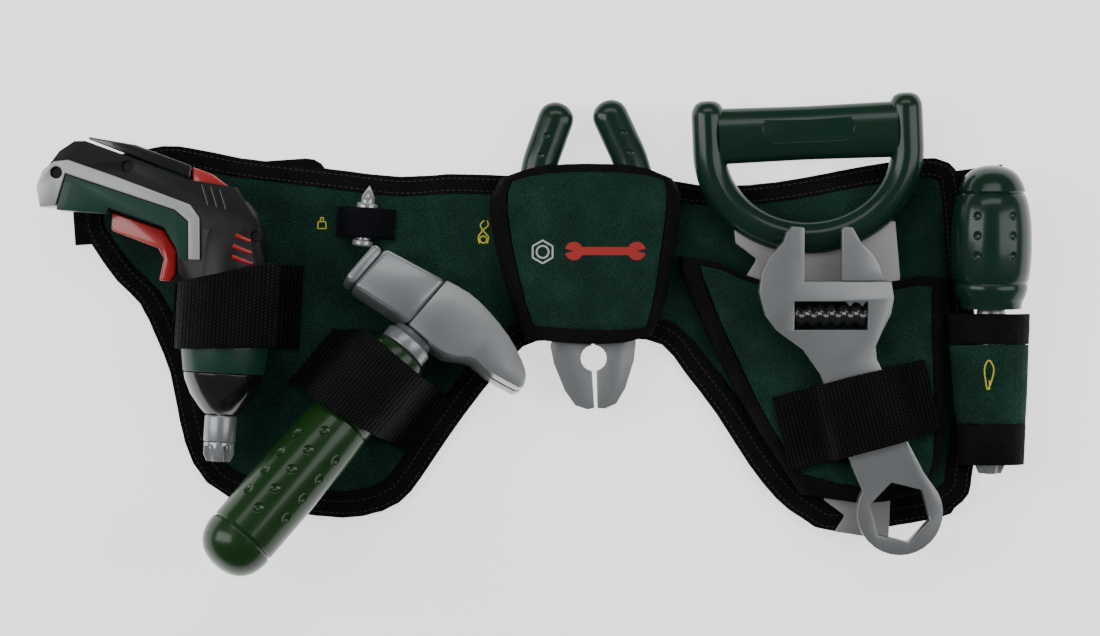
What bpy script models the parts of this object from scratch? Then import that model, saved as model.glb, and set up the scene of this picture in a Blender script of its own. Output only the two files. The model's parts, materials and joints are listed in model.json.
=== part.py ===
"""A child's tool belt with seven toy tools, lying on its back on a table.

Frame: X runs along the belt, Y up the belt, Z out of its front, and the table is z = 0.
Lengths are written in millimetres and turned into metres by MM when a mesh is made.
Every tool is modelled in its own frame, an empty that also lies on its joint's axis.
"""

import math

import bmesh
import bpy
from mathutils import Matrix, Vector
from mathutils.geometry import intersect_point_line

MM = 0.001
GAP = 0.3

# Where the belt's own drawing frame stands, so that the origin is under the middle of the whole object
CENTRE_SHIFT = (-1.0, -2.4)

# Belt panel and its binding
PANEL_THICK = 6.0
BINDING_TOP = 6.6
BINDING_SLIM = 11.0
BINDING_WIDE = 15.0
SEAT = BINDING_TOP + GAP
CLOTH = 1.4

# Waist straps, folded behind the ends of the panel
STRAP_WIDE = 40.0
STRAP_THICK = 1.2
STRAP_SEWN = 62.0
STRAP_FREE = 145.0
PATCH_THICK = 0.8
PATCH_LONG = 46.0
STRAP_LOW = PATCH_THICK + GAP
FOLD_HEIGHT = STRAP_LOW + STRAP_THICK + GAP / 2
RECESS_DEEP = STRAP_LOW + 2 * STRAP_THICK + 2 * GAP

# Cordless screwdriver
BARREL_R = 24.3
HANDLE_HALF = 16.0
TRIM_HALF = HANDLE_HALF + 1.5
BATTERY_R = 5.2
BATTERY_LONG = 44.0
GEAR_MODULE = 0.6
GEAR_TEETH = 24
PINION_TEETH = 8
GEAR_SPACING = GEAR_MODULE * (GEAR_TEETH + PINION_TEETH) / 2 + 0.15
TRIGGER_TRAVEL = 3.0
TRIGGER_WAY = (0.17, 0.9854)
SWITCH_TRAVEL = 3.0
SWITCH_WAY = (0.894, -0.448)

# Hammer
HEAD_HALF_DEEP = 15.0
GRIP_R = 19.5
HAMMER_TILT = 12.0

# Pliers
PLIERS_HALF = 5.0
LAP_R = 14.6
PLIERS_GRIP_R = 10.0
PLIERS_GRIP_FLAT = 0.75

# Adjustable wrench
WRENCH_THICK = 11.0
HANDLE_LEAN = 20.6
WRENCH_TILT = 3.8
RING_CENTRE = (22.5, -52.0)
RING_R = 24.0
HEXAGON_R = 17.6
WORM_PITCH = 6.8
WORM_R = 5.4
WORM_RIDGE = 0.8
WORM_X = (-36.3, 3.3)
WORM_Y = 58.0
WORM_Z = WRENCH_THICK / 2
RACK_HALF = 2.7

# Saw
SAW_TUBE_R = 9.3
SAW_HALF_WIDE = 55.5
SAW_ARC_DEEP = 49.0
SAW_ARC_Y = 45.0
BLADE_HALF = 1.5
TOOTH_COUNT = 9

# Screwdriver
SHAFT_R = 8.0


# ---------------------------------------------------------------- scene and finishes

for old in list(bpy.data.objects):
    bpy.data.objects.remove(old, do_unlink=True)

parts = bpy.data.collections.new("toy_tool_belt")
cutters = bpy.data.collections.new("cutters")
for collection in (parts, cutters):
    bpy.context.scene.collection.children.link(collection)

FINISHES = {
    "green_fabric": ((0.020, 0.065, 0.045), 0.9, 0.0),
    "black_binding": ((0.012, 0.012, 0.012), 0.95, 0.0),
    "black_elastic": ((0.010, 0.010, 0.010), 0.95, 0.0),
    "blue_black_loop": ((0.009, 0.010, 0.014), 0.7, 0.0),
    "hook_patch": ((0.015, 0.015, 0.015), 0.8, 0.0),
    "green_gloss": ((0.010, 0.075, 0.045), 0.18, 0.0),
    "olive_gloss": ((0.015, 0.075, 0.020), 0.2, 0.0),
    "green_matte": ((0.012, 0.075, 0.045), 0.6, 0.0),
    "silver_plastic": ((0.30, 0.32, 0.34), 0.35, 0.6),
    "blade_plastic": ((0.36, 0.36, 0.35), 0.45, 0.4),
    "black_plastic": ((0.012, 0.012, 0.012), 0.35, 0.0),
    "dark_grey_plastic": ((0.045, 0.048, 0.052), 0.5, 0.0),
    "red_plastic": ((0.60, 0.010, 0.010), 0.3, 0.0),
    "clear_grey": ((0.35, 0.37, 0.40), 0.1, 0.0),
    "steel": ((0.55, 0.55, 0.55), 0.3, 1.0),
    "white_gear": ((0.75, 0.74, 0.70), 0.5, 0.0),
    "battery_jacket": ((0.10, 0.11, 0.13), 0.4, 0.0),
}


def make_finish(name):
    colour, roughness, metallic = FINISHES[name]
    material = bpy.data.materials.new(name)
    material.use_nodes = True
    shader = material.node_tree.nodes["Principled BSDF"]
    shader.inputs["Base Color"].default_value = (*colour, 1.0)
    shader.inputs["Roughness"].default_value = roughness
    shader.inputs["Metallic"].default_value = metallic
    return material


finishes = {name: make_finish(name) for name in FINISHES}


# ---------------------------------------------------------------- frames


def frame(name, parent, place, turn=0.0, tilt=0.0):
    """An empty at a place in its parent's frame, tilted about its X, then turned about Z."""
    empty = bpy.data.objects.new(name, None)
    empty.empty_display_size = 0.02
    parts.objects.link(empty)
    empty.parent = parent
    empty.location = Vector(place) * MM
    empty.rotation_euler = (math.radians(tilt), 0.0, math.radians(turn))
    return empty


# ---------------------------------------------------------------- points


def smooth(points, steps, closed=False):
    """Points on a Catmull-Rom curve through the given ones."""
    dots = [Vector(p) for p in points]
    count = len(dots)
    path = []
    for i in range(count if closed else count - 1):
        if closed:
            a, b, c, d = (dots[(i + k) % count] for k in (-1, 0, 1, 2))
        else:
            a, b, c, d = (dots[min(max(i + k, 0), count - 1)] for k in (-1, 0, 1, 2))
        for step in range(steps):
            t = step / steps
            path.append(
                0.5 * (2 * b + (c - a) * t + (2 * a - 5 * b + 4 * c - d) * t**2
                       + (3 * b - a - 3 * c + d) * t**3)
            )
    if not closed:
        path.append(dots[-1])
    return path


def along(path, t):
    """The point a share t of the way through a list of points."""
    place = min(max(t, 0.0), 1.0) * (len(path) - 1)
    i = min(int(place), len(path) - 2)
    return path[i].lerp(path[i + 1], place - i)


def arc(centre, radius, start, end, count):
    """Points on a circle's arc, with its angles in degrees."""
    angles = [math.radians(start + (end - start) * i / (count - 1)) for i in range(count)]
    return [(centre[0] + radius * math.cos(a), centre[1] + radius * math.sin(a)) for a in angles]


def distance_to(loop, point):
    """The distance from a point to a closed outline."""
    nearest = []
    for i, start in enumerate(loop):
        spot, share = intersect_point_line(point, start, loop[(i + 1) % len(loop)])
        if share < 0 or share > 1:
            spot = start
        nearest.append((Vector(spot[:2]) - point).length)
    return min(nearest)


def inset(loop, width):
    """A closed anticlockwise outline moved inwards by width(point), its tight corners rounded off."""
    count = len(loop)
    moved = []
    for i, point in enumerate(loop):
        ahead = (loop[(i + 1) % count] - loop[i - 1]).normalized()
        place = point + Vector((-ahead.y, ahead.x)) * width(point)
        if distance_to(loop, place) > abs(width(point)) * 0.97:
            moved.append(place)
    return moved


def mirrored(points):
    return [(-p[0], *p[1:]) for p in reversed(points)]


# ---------------------------------------------------------------- meshes


def taken(obj):
    """The evaluated mesh of a helper object, welded, with the helper removed."""
    bpy.context.view_layer.update()
    shape = obj.evaluated_get(bpy.context.evaluated_depsgraph_get())
    mesh = bpy.data.meshes.new_from_object(shape)
    mesh.materials.clear()
    bm = bmesh.new()
    bm.from_mesh(mesh)
    bmesh.ops.remove_doubles(bm, verts=bm.verts, dist=1e-6)
    bmesh.ops.recalc_face_normals(bm, faces=bm.faces)
    bm.to_mesh(mesh)
    bm.free()
    bpy.data.objects.remove(obj)
    return mesh


def plate(loops, low, high):
    """A flat outline with its holes, between two heights."""
    curve = bpy.data.curves.new("outline", "CURVE")
    curve.dimensions = "2D"
    curve.fill_mode = "BOTH"
    curve.extrude = (high - low) / 2 * MM
    for loop in loops:
        spline = curve.splines.new("POLY")
        spline.points.add(len(loop) - 1)
        spline.use_cyclic_u = True
        for dot, point in zip(spline.points, loop):
            dot.co = (point[0] * MM, point[1] * MM, 0, 1)
    obj = bpy.data.objects.new("outline", curve)
    parts.objects.link(obj)
    mesh = taken(obj)
    mesh.transform(Matrix.Translation((0, 0, (low + high) / 2 * MM)))
    return mesh


def turned(profile, steps=32, ring=False):
    """A turned shape about the Y axis. The profile is (radius, y) from the top down."""
    outline = bpy.data.meshes.new("profile")
    dots = [(r * MM, 0, y * MM) for r, y in profile]
    edges = [(i, i + 1) for i in range(len(dots) - 1)]
    if ring:
        edges.append((len(dots) - 1, 0))
    outline.from_pydata(dots, edges, [])
    obj = bpy.data.objects.new("profile", outline)
    parts.objects.link(obj)
    screw = obj.modifiers.new("turn", "SCREW")
    screw.axis = "Z"
    screw.steps = steps
    screw.render_steps = steps
    screw.use_merge_vertices = True
    screw.merge_threshold = 0.00001
    mesh = taken(obj)
    mesh.transform(Matrix.Rotation(math.radians(-90), 4, "X"))
    return mesh


def tube(points, radii, resolution=4):
    """A round bar along a path, its radius given at each point."""
    curve = bpy.data.curves.new("bar", "CURVE")
    curve.dimensions = "3D"
    curve.bevel_depth = MM
    curve.bevel_resolution = resolution
    curve.use_fill_caps = True
    spline = curve.splines.new("POLY")
    spline.points.add(len(points) - 1)
    for dot, point, radius in zip(spline.points, points, radii):
        place = Vector((*point, 0))[:3] if len(point) == 2 else point
        dot.co = (*(Vector(place) * MM), 1)
        dot.radius = radius
    obj = bpy.data.objects.new("bar", curve)
    parts.objects.link(obj)
    return taken(obj)


def block(low, high):
    """A box between two corners."""
    mesh = bpy.data.meshes.new("block")
    bm = bmesh.new()
    bmesh.ops.create_cube(bm, size=1.0)
    size = Vector(high) - Vector(low)
    middle = (Vector(high) + Vector(low)) / 2
    bmesh.ops.scale(bm, vec=size * MM, verts=bm.verts)
    bmesh.ops.translate(bm, vec=middle * MM, verts=bm.verts)
    bm.to_mesh(mesh)
    bm.free()
    return mesh


def rod(start, end, radius, sides=24):
    """A cylinder between two points."""
    a, b = Vector(start) * MM, Vector(end) * MM
    mesh = bpy.data.meshes.new("rod")
    bm = bmesh.new()
    bmesh.ops.create_cone(
        bm, cap_ends=True, segments=sides, radius1=radius * MM, radius2=radius * MM,
        depth=(b - a).length,
    )
    bm.to_mesh(mesh)
    bm.free()
    turn = (b - a).to_track_quat("Z", "Y").to_matrix().to_4x4()
    mesh.transform(Matrix.Translation((a + b) / 2) @ turn)
    return mesh


def cloth(patch, us, vs, skip=None):
    """An open grid of cloth: patch(u, v) is a point, and skip(i, j) leaves a cell out."""
    mesh = bpy.data.meshes.new("cloth")
    bm = bmesh.new()
    grid = [[bm.verts.new(Vector(patch(u, v)) * MM) for v in vs] for u in us]
    for i in range(len(us) - 1):
        for j in range(len(vs) - 1):
            if skip and skip(i, j):
                continue
            corners = (grid[i][j], grid[i][j + 1], grid[i + 1][j + 1], grid[i + 1][j])
            bm.faces.new(corners)
    loose = [v for v in bm.verts if not v.link_faces]
    bmesh.ops.delete(bm, geom=loose, context="VERTS")
    bm.normal_update()
    if sum(f.normal.z * f.calc_area() for f in bm.faces) < 0:
        bmesh.ops.reverse_faces(bm, faces=bm.faces)
    bm.to_mesh(mesh)
    bm.free()
    return mesh


# ---------------------------------------------------------------- objects


def piece(name, mesh, parent, finish, bevel=0.0, segments=2, smooth_angle=35):
    obj = bpy.data.objects.new(name, mesh)
    parts.objects.link(obj)
    obj.parent = parent
    mesh.name = name
    mesh.materials.append(finishes[finish])
    mesh.shade_smooth()
    mesh.set_sharp_from_angle(angle=math.radians(smooth_angle))
    if bevel:
        edge = obj.modifiers.new("edge", "BEVEL")
        edge.width = bevel * MM
        edge.segments = segments
        edge.limit_method = "ANGLE"
        edge.angle_limit = math.radians(50)
    return obj


def thickened(obj, thickness):
    wall = obj.modifiers.new("wall", "SOLIDIFY")
    wall.thickness = thickness * MM
    wall.offset = 1.0
    wall.use_even_offset = True
    return obj


def shaped(obj, operation, meshes):
    """Cuts, joins or keeps what is inside, with each mesh in the object's own frame."""
    for mesh in meshes:
        cutter = bpy.data.objects.new(obj.name + "_cutter", mesh)
        cutters.objects.link(cutter)
        cutter.parent = obj.parent
        cutter.hide_render = True
        cutter.display_type = "WIRE"
        change = obj.modifiers.new("shape", "BOOLEAN")
        change.operation = operation
        change.solver = "EXACT"
        change.object = cutter
    return obj


# ---------------------------------------------------------------- belt


PANEL_TOP_EDGE = [
    (236.6, 94.1), (228.2, 99.1), (218.7, 100.2), (188.4, 96.3), (150, 89), (121.2, 85.1),
    (92.1, 85.1), (69.7, 88.5), (28.8, 89.6), (-12, 90.2), (-47.3, 91.3), (-75.9, 89.6),
    (-110.6, 93.5), (-166, 100.2), (-200.8, 107), (-218.1, 105.3), (-246, 98),
]
PANEL_LEFT_EDGE = [
    (-254, 82), (-254.5, 62), (-249.5, 50.4), (-235.5, 30.8), (-222.6, 17.9), (-213.6, -1.1),
    (-205.8, -20.7), (-200.8, -45.9), (-192.9, -71.7), (-172.2, -91.3), (-122.9, -101.4),
    (-97.2, -101.4), (-77, -94.1), (-64.7, -80.1), (-51.2, -59.9), (-29.4, -30.2),
]
PANEL_WAIST = [(-7, -6), (8, -2.5), (28.8, -1.5), (52, -1.2), (71.4, -5)]
PANEL_RIGHT_EDGE = [
    (84.3, -20.7), (102.2, -44.2), (120.1, -72.2), (135.8, -91.8), (150.4, -103), (169.4, -110.3),
    (226, -103), (236, -97), (243.9, -89), (246.1, -76.2), (251, -40), (249, 0), (243, 40),
    (240, 76),
]


def fold_places():
    """The fold of each waist strap: its middle, the turn of its frame and the side of its patch."""
    return {"left": ((-261, 71), 184.0, -1), "right": ((266, 77), 8.0, 1)}


def strap_hollows(thick):
    """The space behind each end of the panel in which a strap lies folded."""
    hollows = []
    for place, turn, _ in fold_places().values():
        hollow = block(
            (-STRAP_FREE - 4, -STRAP_WIDE / 2 - 1, -1), (6, STRAP_WIDE / 2 + 1, thick)
        )
        turned_in = Matrix.Rotation(math.radians(turn), 4, "Z")
        hollow.transform(Matrix.Translation((place[0] * MM, place[1] * MM, 0)) @ turned_in)
        hollows.append(hollow)
    return hollows


def binding_width(point):
    share = min(max((60 - point.y) / 90, 0.0), 1.0)
    return BINDING_SLIM + (BINDING_WIDE - BINDING_SLIM) * share


def make_panel(belt):
    edge = smooth(PANEL_TOP_EDGE + PANEL_LEFT_EDGE + PANEL_WAIST + PANEL_RIGHT_EDGE, 2, closed=True)
    inside = inset(edge, binding_width)
    core_edge = inset(edge, lambda p: binding_width(p) + GAP)
    core = piece("belt_panel", plate([core_edge], 0, PANEL_THICK), belt, "green_fabric")
    shaped(core, "DIFFERENCE", strap_hollows(RECESS_DEEP))
    ring = plate([edge, inside], 0, BINDING_TOP)
    binding = piece("panel_binding", ring, belt, "black_binding")
    shaped(binding, "DIFFERENCE", strap_hollows(RECESS_DEEP))


def make_waist_strap(side, belt):
    """A strap sewn behind the panel's end, folded back on itself, with its closure patch."""
    place, turn, patch_side = fold_places()[side]
    fold = frame(f"waist_strap_{side}_fold", belt, (*place, FOLD_HEIGHT), turn)
    half = STRAP_WIDE / 2
    near, far = GAP / 2, GAP / 2 + STRAP_THICK
    sewn = block((-STRAP_SEWN, -half, near), (0, half, far))
    piece(f"waist_strap_{side}_sewn_end", sewn, fold, "black_elastic")
    rounded = [(0, -half), (0, half)]
    rounded += arc((-STRAP_FREE + 12, half - 12), 12, 90, 180, 5)
    rounded += arc((-STRAP_FREE + 12, 12 - half), 12, 180, 270, 5)
    free = piece(f"waist_strap_{side}", plate([rounded], -far, -near), fold, "black_elastic")
    patch_end = 14 - STRAP_FREE
    if patch_side > 0:
        low, high = -near + GAP, -near + GAP + PATCH_THICK
    else:
        low, high = -far - GAP - PATCH_THICK, -far - GAP
    patch = block((patch_end, 4 - half, low), (patch_end + PATCH_LONG, half - 4, high))
    name = "closure_loop_patch" if patch_side > 0 else "closure_hook_patch"
    piece(name, patch, fold, "hook_patch")
    return free


# ---------------------------------------------------------------- pockets and loops


def arched(u, power=4.0):
    """0 at both edges of a pocket and 1 across its middle."""
    return (1 - abs(2 * u - 1) ** power) ** (1 / power)


def spread(count, start=0.0, end=1.0):
    """Shares from start to end, closer together near 0 and 1, where the cloth turns down."""
    shares = [(1 - math.cos(math.pi * i / count)) / 2 for i in range(count + 1)]
    return [start + (end - start) * s for s in shares]


def pocket_patch(top, right, bottom, left, height, power=4.0):
    """A point of an arched pocket between four edges; height(v) is its rise over its seat."""
    edges = [smooth(points, 4) for points in (top, right, bottom, left)]

    def patch(u, v):
        up, east, down, west = (
            along(path, t) for path, t in zip(edges, (u, v, u, v))
        )
        flat = (1 - v) * up + v * down + (1 - u) * west + u * east
        flat -= (1 - u) * (1 - v) * edges[0][0] + u * (1 - v) * edges[0][-1]
        flat -= (1 - u) * v * edges[2][0] + u * v * edges[2][-1]
        return (flat.x, flat.y, SEAT + height(v) * arched(u, power))

    return patch


def make_pocket(name, patch, belt, u_rim, v_rim):
    """A green pocket front and the black binding around all its edges."""
    side, end = u_rim, v_rim
    us = [0, side * 0.18, side * 0.5, side]
    us += [side + (1 - 2 * side) * i / 8 for i in range(1, 8)]
    us += [1 - side, 1 - side * 0.5, 1 - side * 0.18, 1]
    vs = [0, end, *[end + (1 - 2 * end) * j / 6 for j in range(1, 6)], 1 - end, 1]

    def middle(i, j):
        return 3 <= i < len(us) - 4 and 1 <= j < len(vs) - 2

    ring = piece(name + "_binding", cloth(patch, us, vs, middle), belt, "black_binding")
    thickened(ring, CLOTH)
    slit_u, slit_v = 0.008, 0.006
    inner_us = [side + slit_u, *us[4:-4], 1 - side - slit_u]
    inner_vs = [end + slit_v, *vs[2:-2], 1 - end - slit_v]
    front = piece(name, cloth(patch, inner_us, inner_vs), belt, "green_fabric")
    thickened(front, CLOTH)


def make_pliers_pocket(belt):
    top = [(-18, 88), (0.8, 94.6), (28.8, 96.3), (59.1, 94.6), (76, 87)]
    right = [(76, 87), (80.9, 72.8), (72, 21.3), (64.1, 0.6)]
    bottom = [(-4.2, -1.5), (20.4, -4), (46.2, -4), (64.1, 0.6)]
    left = [(-18, 88), (-24.9, 71.1), (-15.4, 27.4), (-4.2, -1.5)]
    patch = pocket_patch(top, right, bottom, left, lambda v: 17.8)
    make_pocket("pliers_pocket", patch, belt, 0.11, 0.12)


def make_saw_pocket(belt):
    top = [(82.5, 45), (103.3, 41), (130, 30), (190, 29), (215, 34), (228, 32)]
    right = [(228, 32), (228.5, 5), (229, -60), (221, -80)]
    bottom = [(150, -88.5), (182, -93.5), (208, -90), (221, -80)]
    left = [(82.5, 45), (86, 27), (117, -37.5), (150, -88.5)]
    patch = pocket_patch(top, right, bottom, left, lambda v: 11.6 - 4.0 * v, 6.0)
    make_pocket("saw_pocket", patch, belt, 0.1, 0.11)


def make_pouch(belt):
    """The screwdriver's pouch, a tube open at both ends on the right edge of the panel."""
    back_edge = [(231.6, 11), (239.6, -72), (273, -71), (276.4, 11)]
    back = plate([list(reversed(back_edge))], SEAT, SEAT + CLOTH)
    piece("pouch_back", back, belt, "green_fabric")
    base = CLOTH + GAP

    def patch(u, v):
        left = 231.6 + 8 * v
        right = 276.4 - 3.4 * v
        rise = base + (24.6 - 4.6 * v) * arched(u, 2.6)
        return (left + (right - left) * u, 12.4 - 84.4 * v, SEAT + rise)

    us = spread(14)
    slit = 0.004
    bands = {
        "pouch_top_binding": ([0, 0.10, 0.2], "black_binding"),
        "pouch_front": ([0.2 + slit, 0.37, 0.55, 0.73 - slit], "green_fabric"),
        "pouch_bottom_binding": ([0.73, 0.86, 1.0], "black_binding"),
    }
    for name, (vs, finish) in bands.items():
        thickened(piece(name, cloth(patch, us, vs), belt, finish), CLOTH)


def make_loop(name, parent, path, low, high, finish, thick=1.8, steps=3, slope=0.0):
    """An elastic band over a tool: path is its (x, z) run, low(x) and high(x) its two edges.
    Its top rises towards -Y by the slope of the tool that it holds."""
    run = smooth(path, steps)
    foot = run[0].y + 1.5

    def patch(u, v):
        point = run[round(u * (len(run) - 1))]
        y = low(point.x) + (high(point.x) - low(point.x)) * v
        lift = slope * -y * clamp((point.y - foot) / 12, 0, 1)
        return (point.x, y, point.y + lift)

    us = [i / (len(run) - 1) for i in range(len(run))]
    return thickened(piece(name, cloth(patch, us, [0, 0.5, 1]), parent, finish), thick)


def clamp(x, low, high):
    return min(max(x, low), high)


def make_driver_loop(belt):
    place = frame("driver_loop_place", belt, (-171.6, 20.2, 0), -3.2)
    path = [
        (-32, 7.1), (-26.2, 9), (-26.3, 22), (-25.8, 36), (-21, 50), (-10, 56.6), (0, 57.6),
        (10, 56.6), (21, 50), (25.8, 36), (26.3, 22), (27.5, 9), (34, 7.1), (40, 7),
    ]
    make_loop(
        "driver_loop", place, path, lambda x: -28.5 + 0.07 * clamp(x + 24, 0, 50),
        lambda x: 7 + 0.28 * clamp(x + 30, 0, 52), "black_elastic",
    )


def make_hammer_loop(belt):
    place = frame("hammer_loop_place", belt, (-57.4, 13.4, 0), -40.4)
    path = [
        (-37, 7.1), (-29, 7.4), (-23.5, 14), (-20.6, 24), (-19.4, 32), (-14, 41), (-5, 45.4),
        (5, 45.4), (14, 41), (19.8, 32), (21.2, 24), (25, 14), (31, 7.4), (40, 7.1),
    ]
    make_loop(
        "hammer_loop", place, path, lambda x: -82 + 0.17 * (x + 37),
        lambda x: -31 - 12 * clamp(-(x + 20) / 15, 0, 1), "black_elastic",
        slope=math.tan(math.radians(HAMMER_TILT)),
    )


def make_screw_loop(belt):
    place = frame("screw_loop_place", belt, (-95.5, 62, 0), -4.0)
    path = [
        (-16.5, 7), (-12, 7.6), (-8.5, 14), (-5.5, 19), (0, 19.8), (5.5, 19), (8.5, 14), (12, 7.6),
        (16.5, 7),
    ]
    make_loop(
        "screw_loop", place, path, lambda x: -7.0, lambda x: 10.0, "blue_black_loop", 1.2, 2
    )


def make_wrench_loop(belt):
    place = frame("wrench_loop_place", belt, (180.6, -45.9, 0), 14.0)
    path = [
        (-44, 18.4), (-32, 18.7), (-23, 21), (-18, 27), (-16.6, 32), (-12, 34.6), (4, 35), (18, 34.6),
        (24, 32), (25.6, 27), (30, 21), (37, 18.5), (44, 18.2),
    ]
    make_loop(
        "wrench_loop", place, path, lambda x: -19 + 0.02 * x, lambda x: 24 - 0.03 * abs(x),
        "black_elastic", 1.6, slope=-math.tan(math.radians(WRENCH_TILT)),
    )


# ---------------------------------------------------------------- cordless screwdriver


HOUSING = [
    (-104, 57), (-102, 68), (-96, 77), (-88, 83), (-82, 83.4), (-54, 75), (-24, 65.2), (2, 62.5),
    (14, 45), (20, 24), (21, 8), (-21, 8), (-26.5, 14), (-28.3, 27), (-36, 38), (-66.5, 46.5),
    (-95, 48), (-102, 50),
]
TRIGGER = [
    (-66, 35), (-39.5, 26.5), (-36, 21), (-38, 8.5), (-31.5, 8.5), (-29, 12), (-29, 26), (-36.5, 36.5),
    (-66, 45),
]
SWITCH = [(-21.8, 57), (-4, 49.5), (0.5, 61), (-11.5, 69), (-22.6, 72.6)]
COVER = [(-81, 86), (-54.5, 83), (-23.4, 73), (-23.6, 66), (-54.2, 76), (-81, 84.6)]
TRIM = [
    (-107.5, 57), (-104.5, 66), (-98.5, 71), (-91, 72.5), (-65, 65), (-22, 51.5), (-16.5, 44.5), (-15, 21),
    (-21.5, 21), (-22.8, 42.2), (-30.4, 48), (-70, 59), (-92, 64.8), (-96.5, 46.6), (-105, 45.5),
]
GRIP = [
    (-95.8, 44.5), (-91.4, 64), (-70, 58.4), (-30.6, 47.4), (-23.2, 41.8), (-22, 21), (-26.5, 21),
    (-28.6, 27.3), (-36.2, 38.6), (-67, 47.4), (-69, 44),
]
DRIVER_SCREWS = [(-97, 65), (-58, 70.5), (15.5, 36)]
BATTERY_MIDDLE = (-62, 57.5)
BATTERY_LEAN = -16.0


def barrel_profile(shrink=0.0):
    """The head of the housing as a turned shape about the barrel's axis."""
    outer = [(0, 57), (9, 55), (15, 49), (19.5, 38), (22, 20), (24.3, -22)]
    return [(max(r - shrink, 0), y) for r, y in outer] + [(0, -22)]


def battery_run(reach):
    """The two ends of a battery's length, with some reach past each."""
    lean = math.radians(BATTERY_LEAN)
    way = Vector((math.cos(lean), math.sin(lean), 0))
    middle = Vector((*BATTERY_MIDDLE, 0))
    half = BATTERY_LONG / 2 + reach
    return middle - way * half, middle + way * half


def driver_hollows():
    """What is cut out of both housing halves: the places of everything inside."""
    hollows = []
    start, end = battery_run(0.8)
    for z in (-1, 1):
        shift = Vector((0, 0, z * (BATTERY_R + 0.4)))
        hollows.append(rod(start + shift, end + shift, BATTERY_R + 0.5, 16))
    hollows.append(rod((GEAR_SPACING, -3, 0), (GEAR_SPACING, 26.5, 0), 9.2, 20))
    hollows.append(rod((0, -9.5, 0), (0, -2.2, 0), 9.0, 20))
    hollows.append(rod((GEAR_SPACING, -9.5, 0), (GEAR_SPACING, -2, 0), 3.4, 16))
    hollows.append(rod((0, -24, 0), (0, -2, 0), 3.2, 16))
    for outline, way, travel, half in (
        (TRIGGER, TRIGGER_WAY, TRIGGER_TRAVEL, 6.8), (SWITCH, SWITCH_WAY, SWITCH_TRAVEL, 8.0)
    ):
        grown = inset([Vector(p) for p in outline], lambda p: -GAP - 0.1)
        for share in (0, 0.5, 1):
            reach = Vector(way) * (travel + 0.3) * share
            hollows.append(plate([[p + reach for p in grown]], -half - 0.4, half + 0.4))
    hollows.append(rod((-52, 40, 0), (-50.0, 49, 0), 2.9, 16))
    return hollows


def make_housing(driver):
    handle = plate([HOUSING], -HANDLE_HALF, HANDLE_HALF)
    for side, name in ((1, "driver_shell_front"), (-1, "driver_shell_back")):
        shell = piece(name, handle.copy(), driver, "black_plastic")
        shaped(shell, "UNION", [turned(barrel_profile(), 32)])
        keep = [block((-130, -60, GAP / 2), (60, 110, 40)), block((-130, -60, -40), (60, 110, -GAP / 2))]
        shaped(shell, "INTERSECT", [keep[0] if side > 0 else keep[1]])
        shaped(shell, "DIFFERENCE", driver_hollows())
        bores = [rod((x, y, -9), (x, y, 20), 1.9, 12) for x, y in DRIVER_SCREWS]
        counterbores = [rod((x, y, 9), (x, y, 40), 3.3, 16) for x, y in DRIVER_SCREWS]
        shaped(shell, "DIFFERENCE", bores + counterbores)


def make_wraps(driver):
    """The silver trim and the green grip, which wrap both sides of the handle."""
    grown = inset([Vector(p) for p in reversed(HOUSING)], lambda p: -GAP)
    inside = HANDLE_HALF + GAP
    for name, outline, finish in (
        ("driver_trim", TRIM, "silver_plastic"),
        ("driver_grip", GRIP, "green_matte"),
    ):
        wrap = piece(name, plate([outline], -TRIM_HALF, TRIM_HALF), driver, finish)
        shaped(wrap, "DIFFERENCE", [plate([grown], -inside, inside)])
        if name == "driver_trim":
            x, y = DRIVER_SCREWS[0]
            shaped(wrap, "DIFFERENCE", [rod((x, y, 10), (x, y, 40), 3.3, 16)])


def make_driver_controls(driver):
    piece("driver_battery_cover", plate([COVER], -10, 10), driver, "dark_grey_plastic", 0.6)
    switch = frame("driver_switch_place", driver, (0, 0, 0))
    piece("driver_direction_switch", plate([SWITCH], -8, 8), switch, "dark_grey_plastic", 0.8)
    trigger = frame("driver_trigger_place", driver, (0, 0, 0))
    piece("driver_trigger", plate([TRIGGER], -6.8, 6.8), trigger, "red_plastic", 1.2)


def make_spring(name, start, end, radius, wire, turns, parent):
    """A coil spring along the line between two points."""
    a, b = Vector(start), Vector(end)
    turn = (b - a).to_track_quat("Z", "Y")
    count = turns * 8 + 1
    points = []
    for i in range(count):
        angle = math.tau * turns * i / (count - 1)
        swing = Vector((radius * math.cos(angle), radius * math.sin(angle), 0))
        points.append(a.lerp(b, i / (count - 1)) + turn @ swing)
    return piece(name, tube(points, [wire] * count, 2), parent, "steel")


def gear_outline(teeth, phase):
    """A spur gear's outline of straight-sided teeth, one of them at the phase angle."""
    pitch_r = GEAR_MODULE * teeth / 2
    outer, root = pitch_r + 0.4, pitch_r - 0.75
    points = []
    for i in range(teeth):
        for share, radius in ((-0.24, root), (-0.10, outer), (0.10, outer), (0.24, root)):
            angle = phase + math.tau * (i + share) / teeth
            points.append((radius * math.cos(angle), radius * math.sin(angle)))
    return points


def gear(teeth, phase, low, high, bore):
    """A spur gear about the Y axis, between two heights."""
    loops = [gear_outline(teeth, phase)]
    if bore:
        loops.append(arc((0, 0), bore, 0, 337.5, 16))
    mesh = plate(loops, low, high)
    mesh.transform(Matrix.Rotation(math.radians(-90), 4, "X"))
    return mesh


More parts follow.
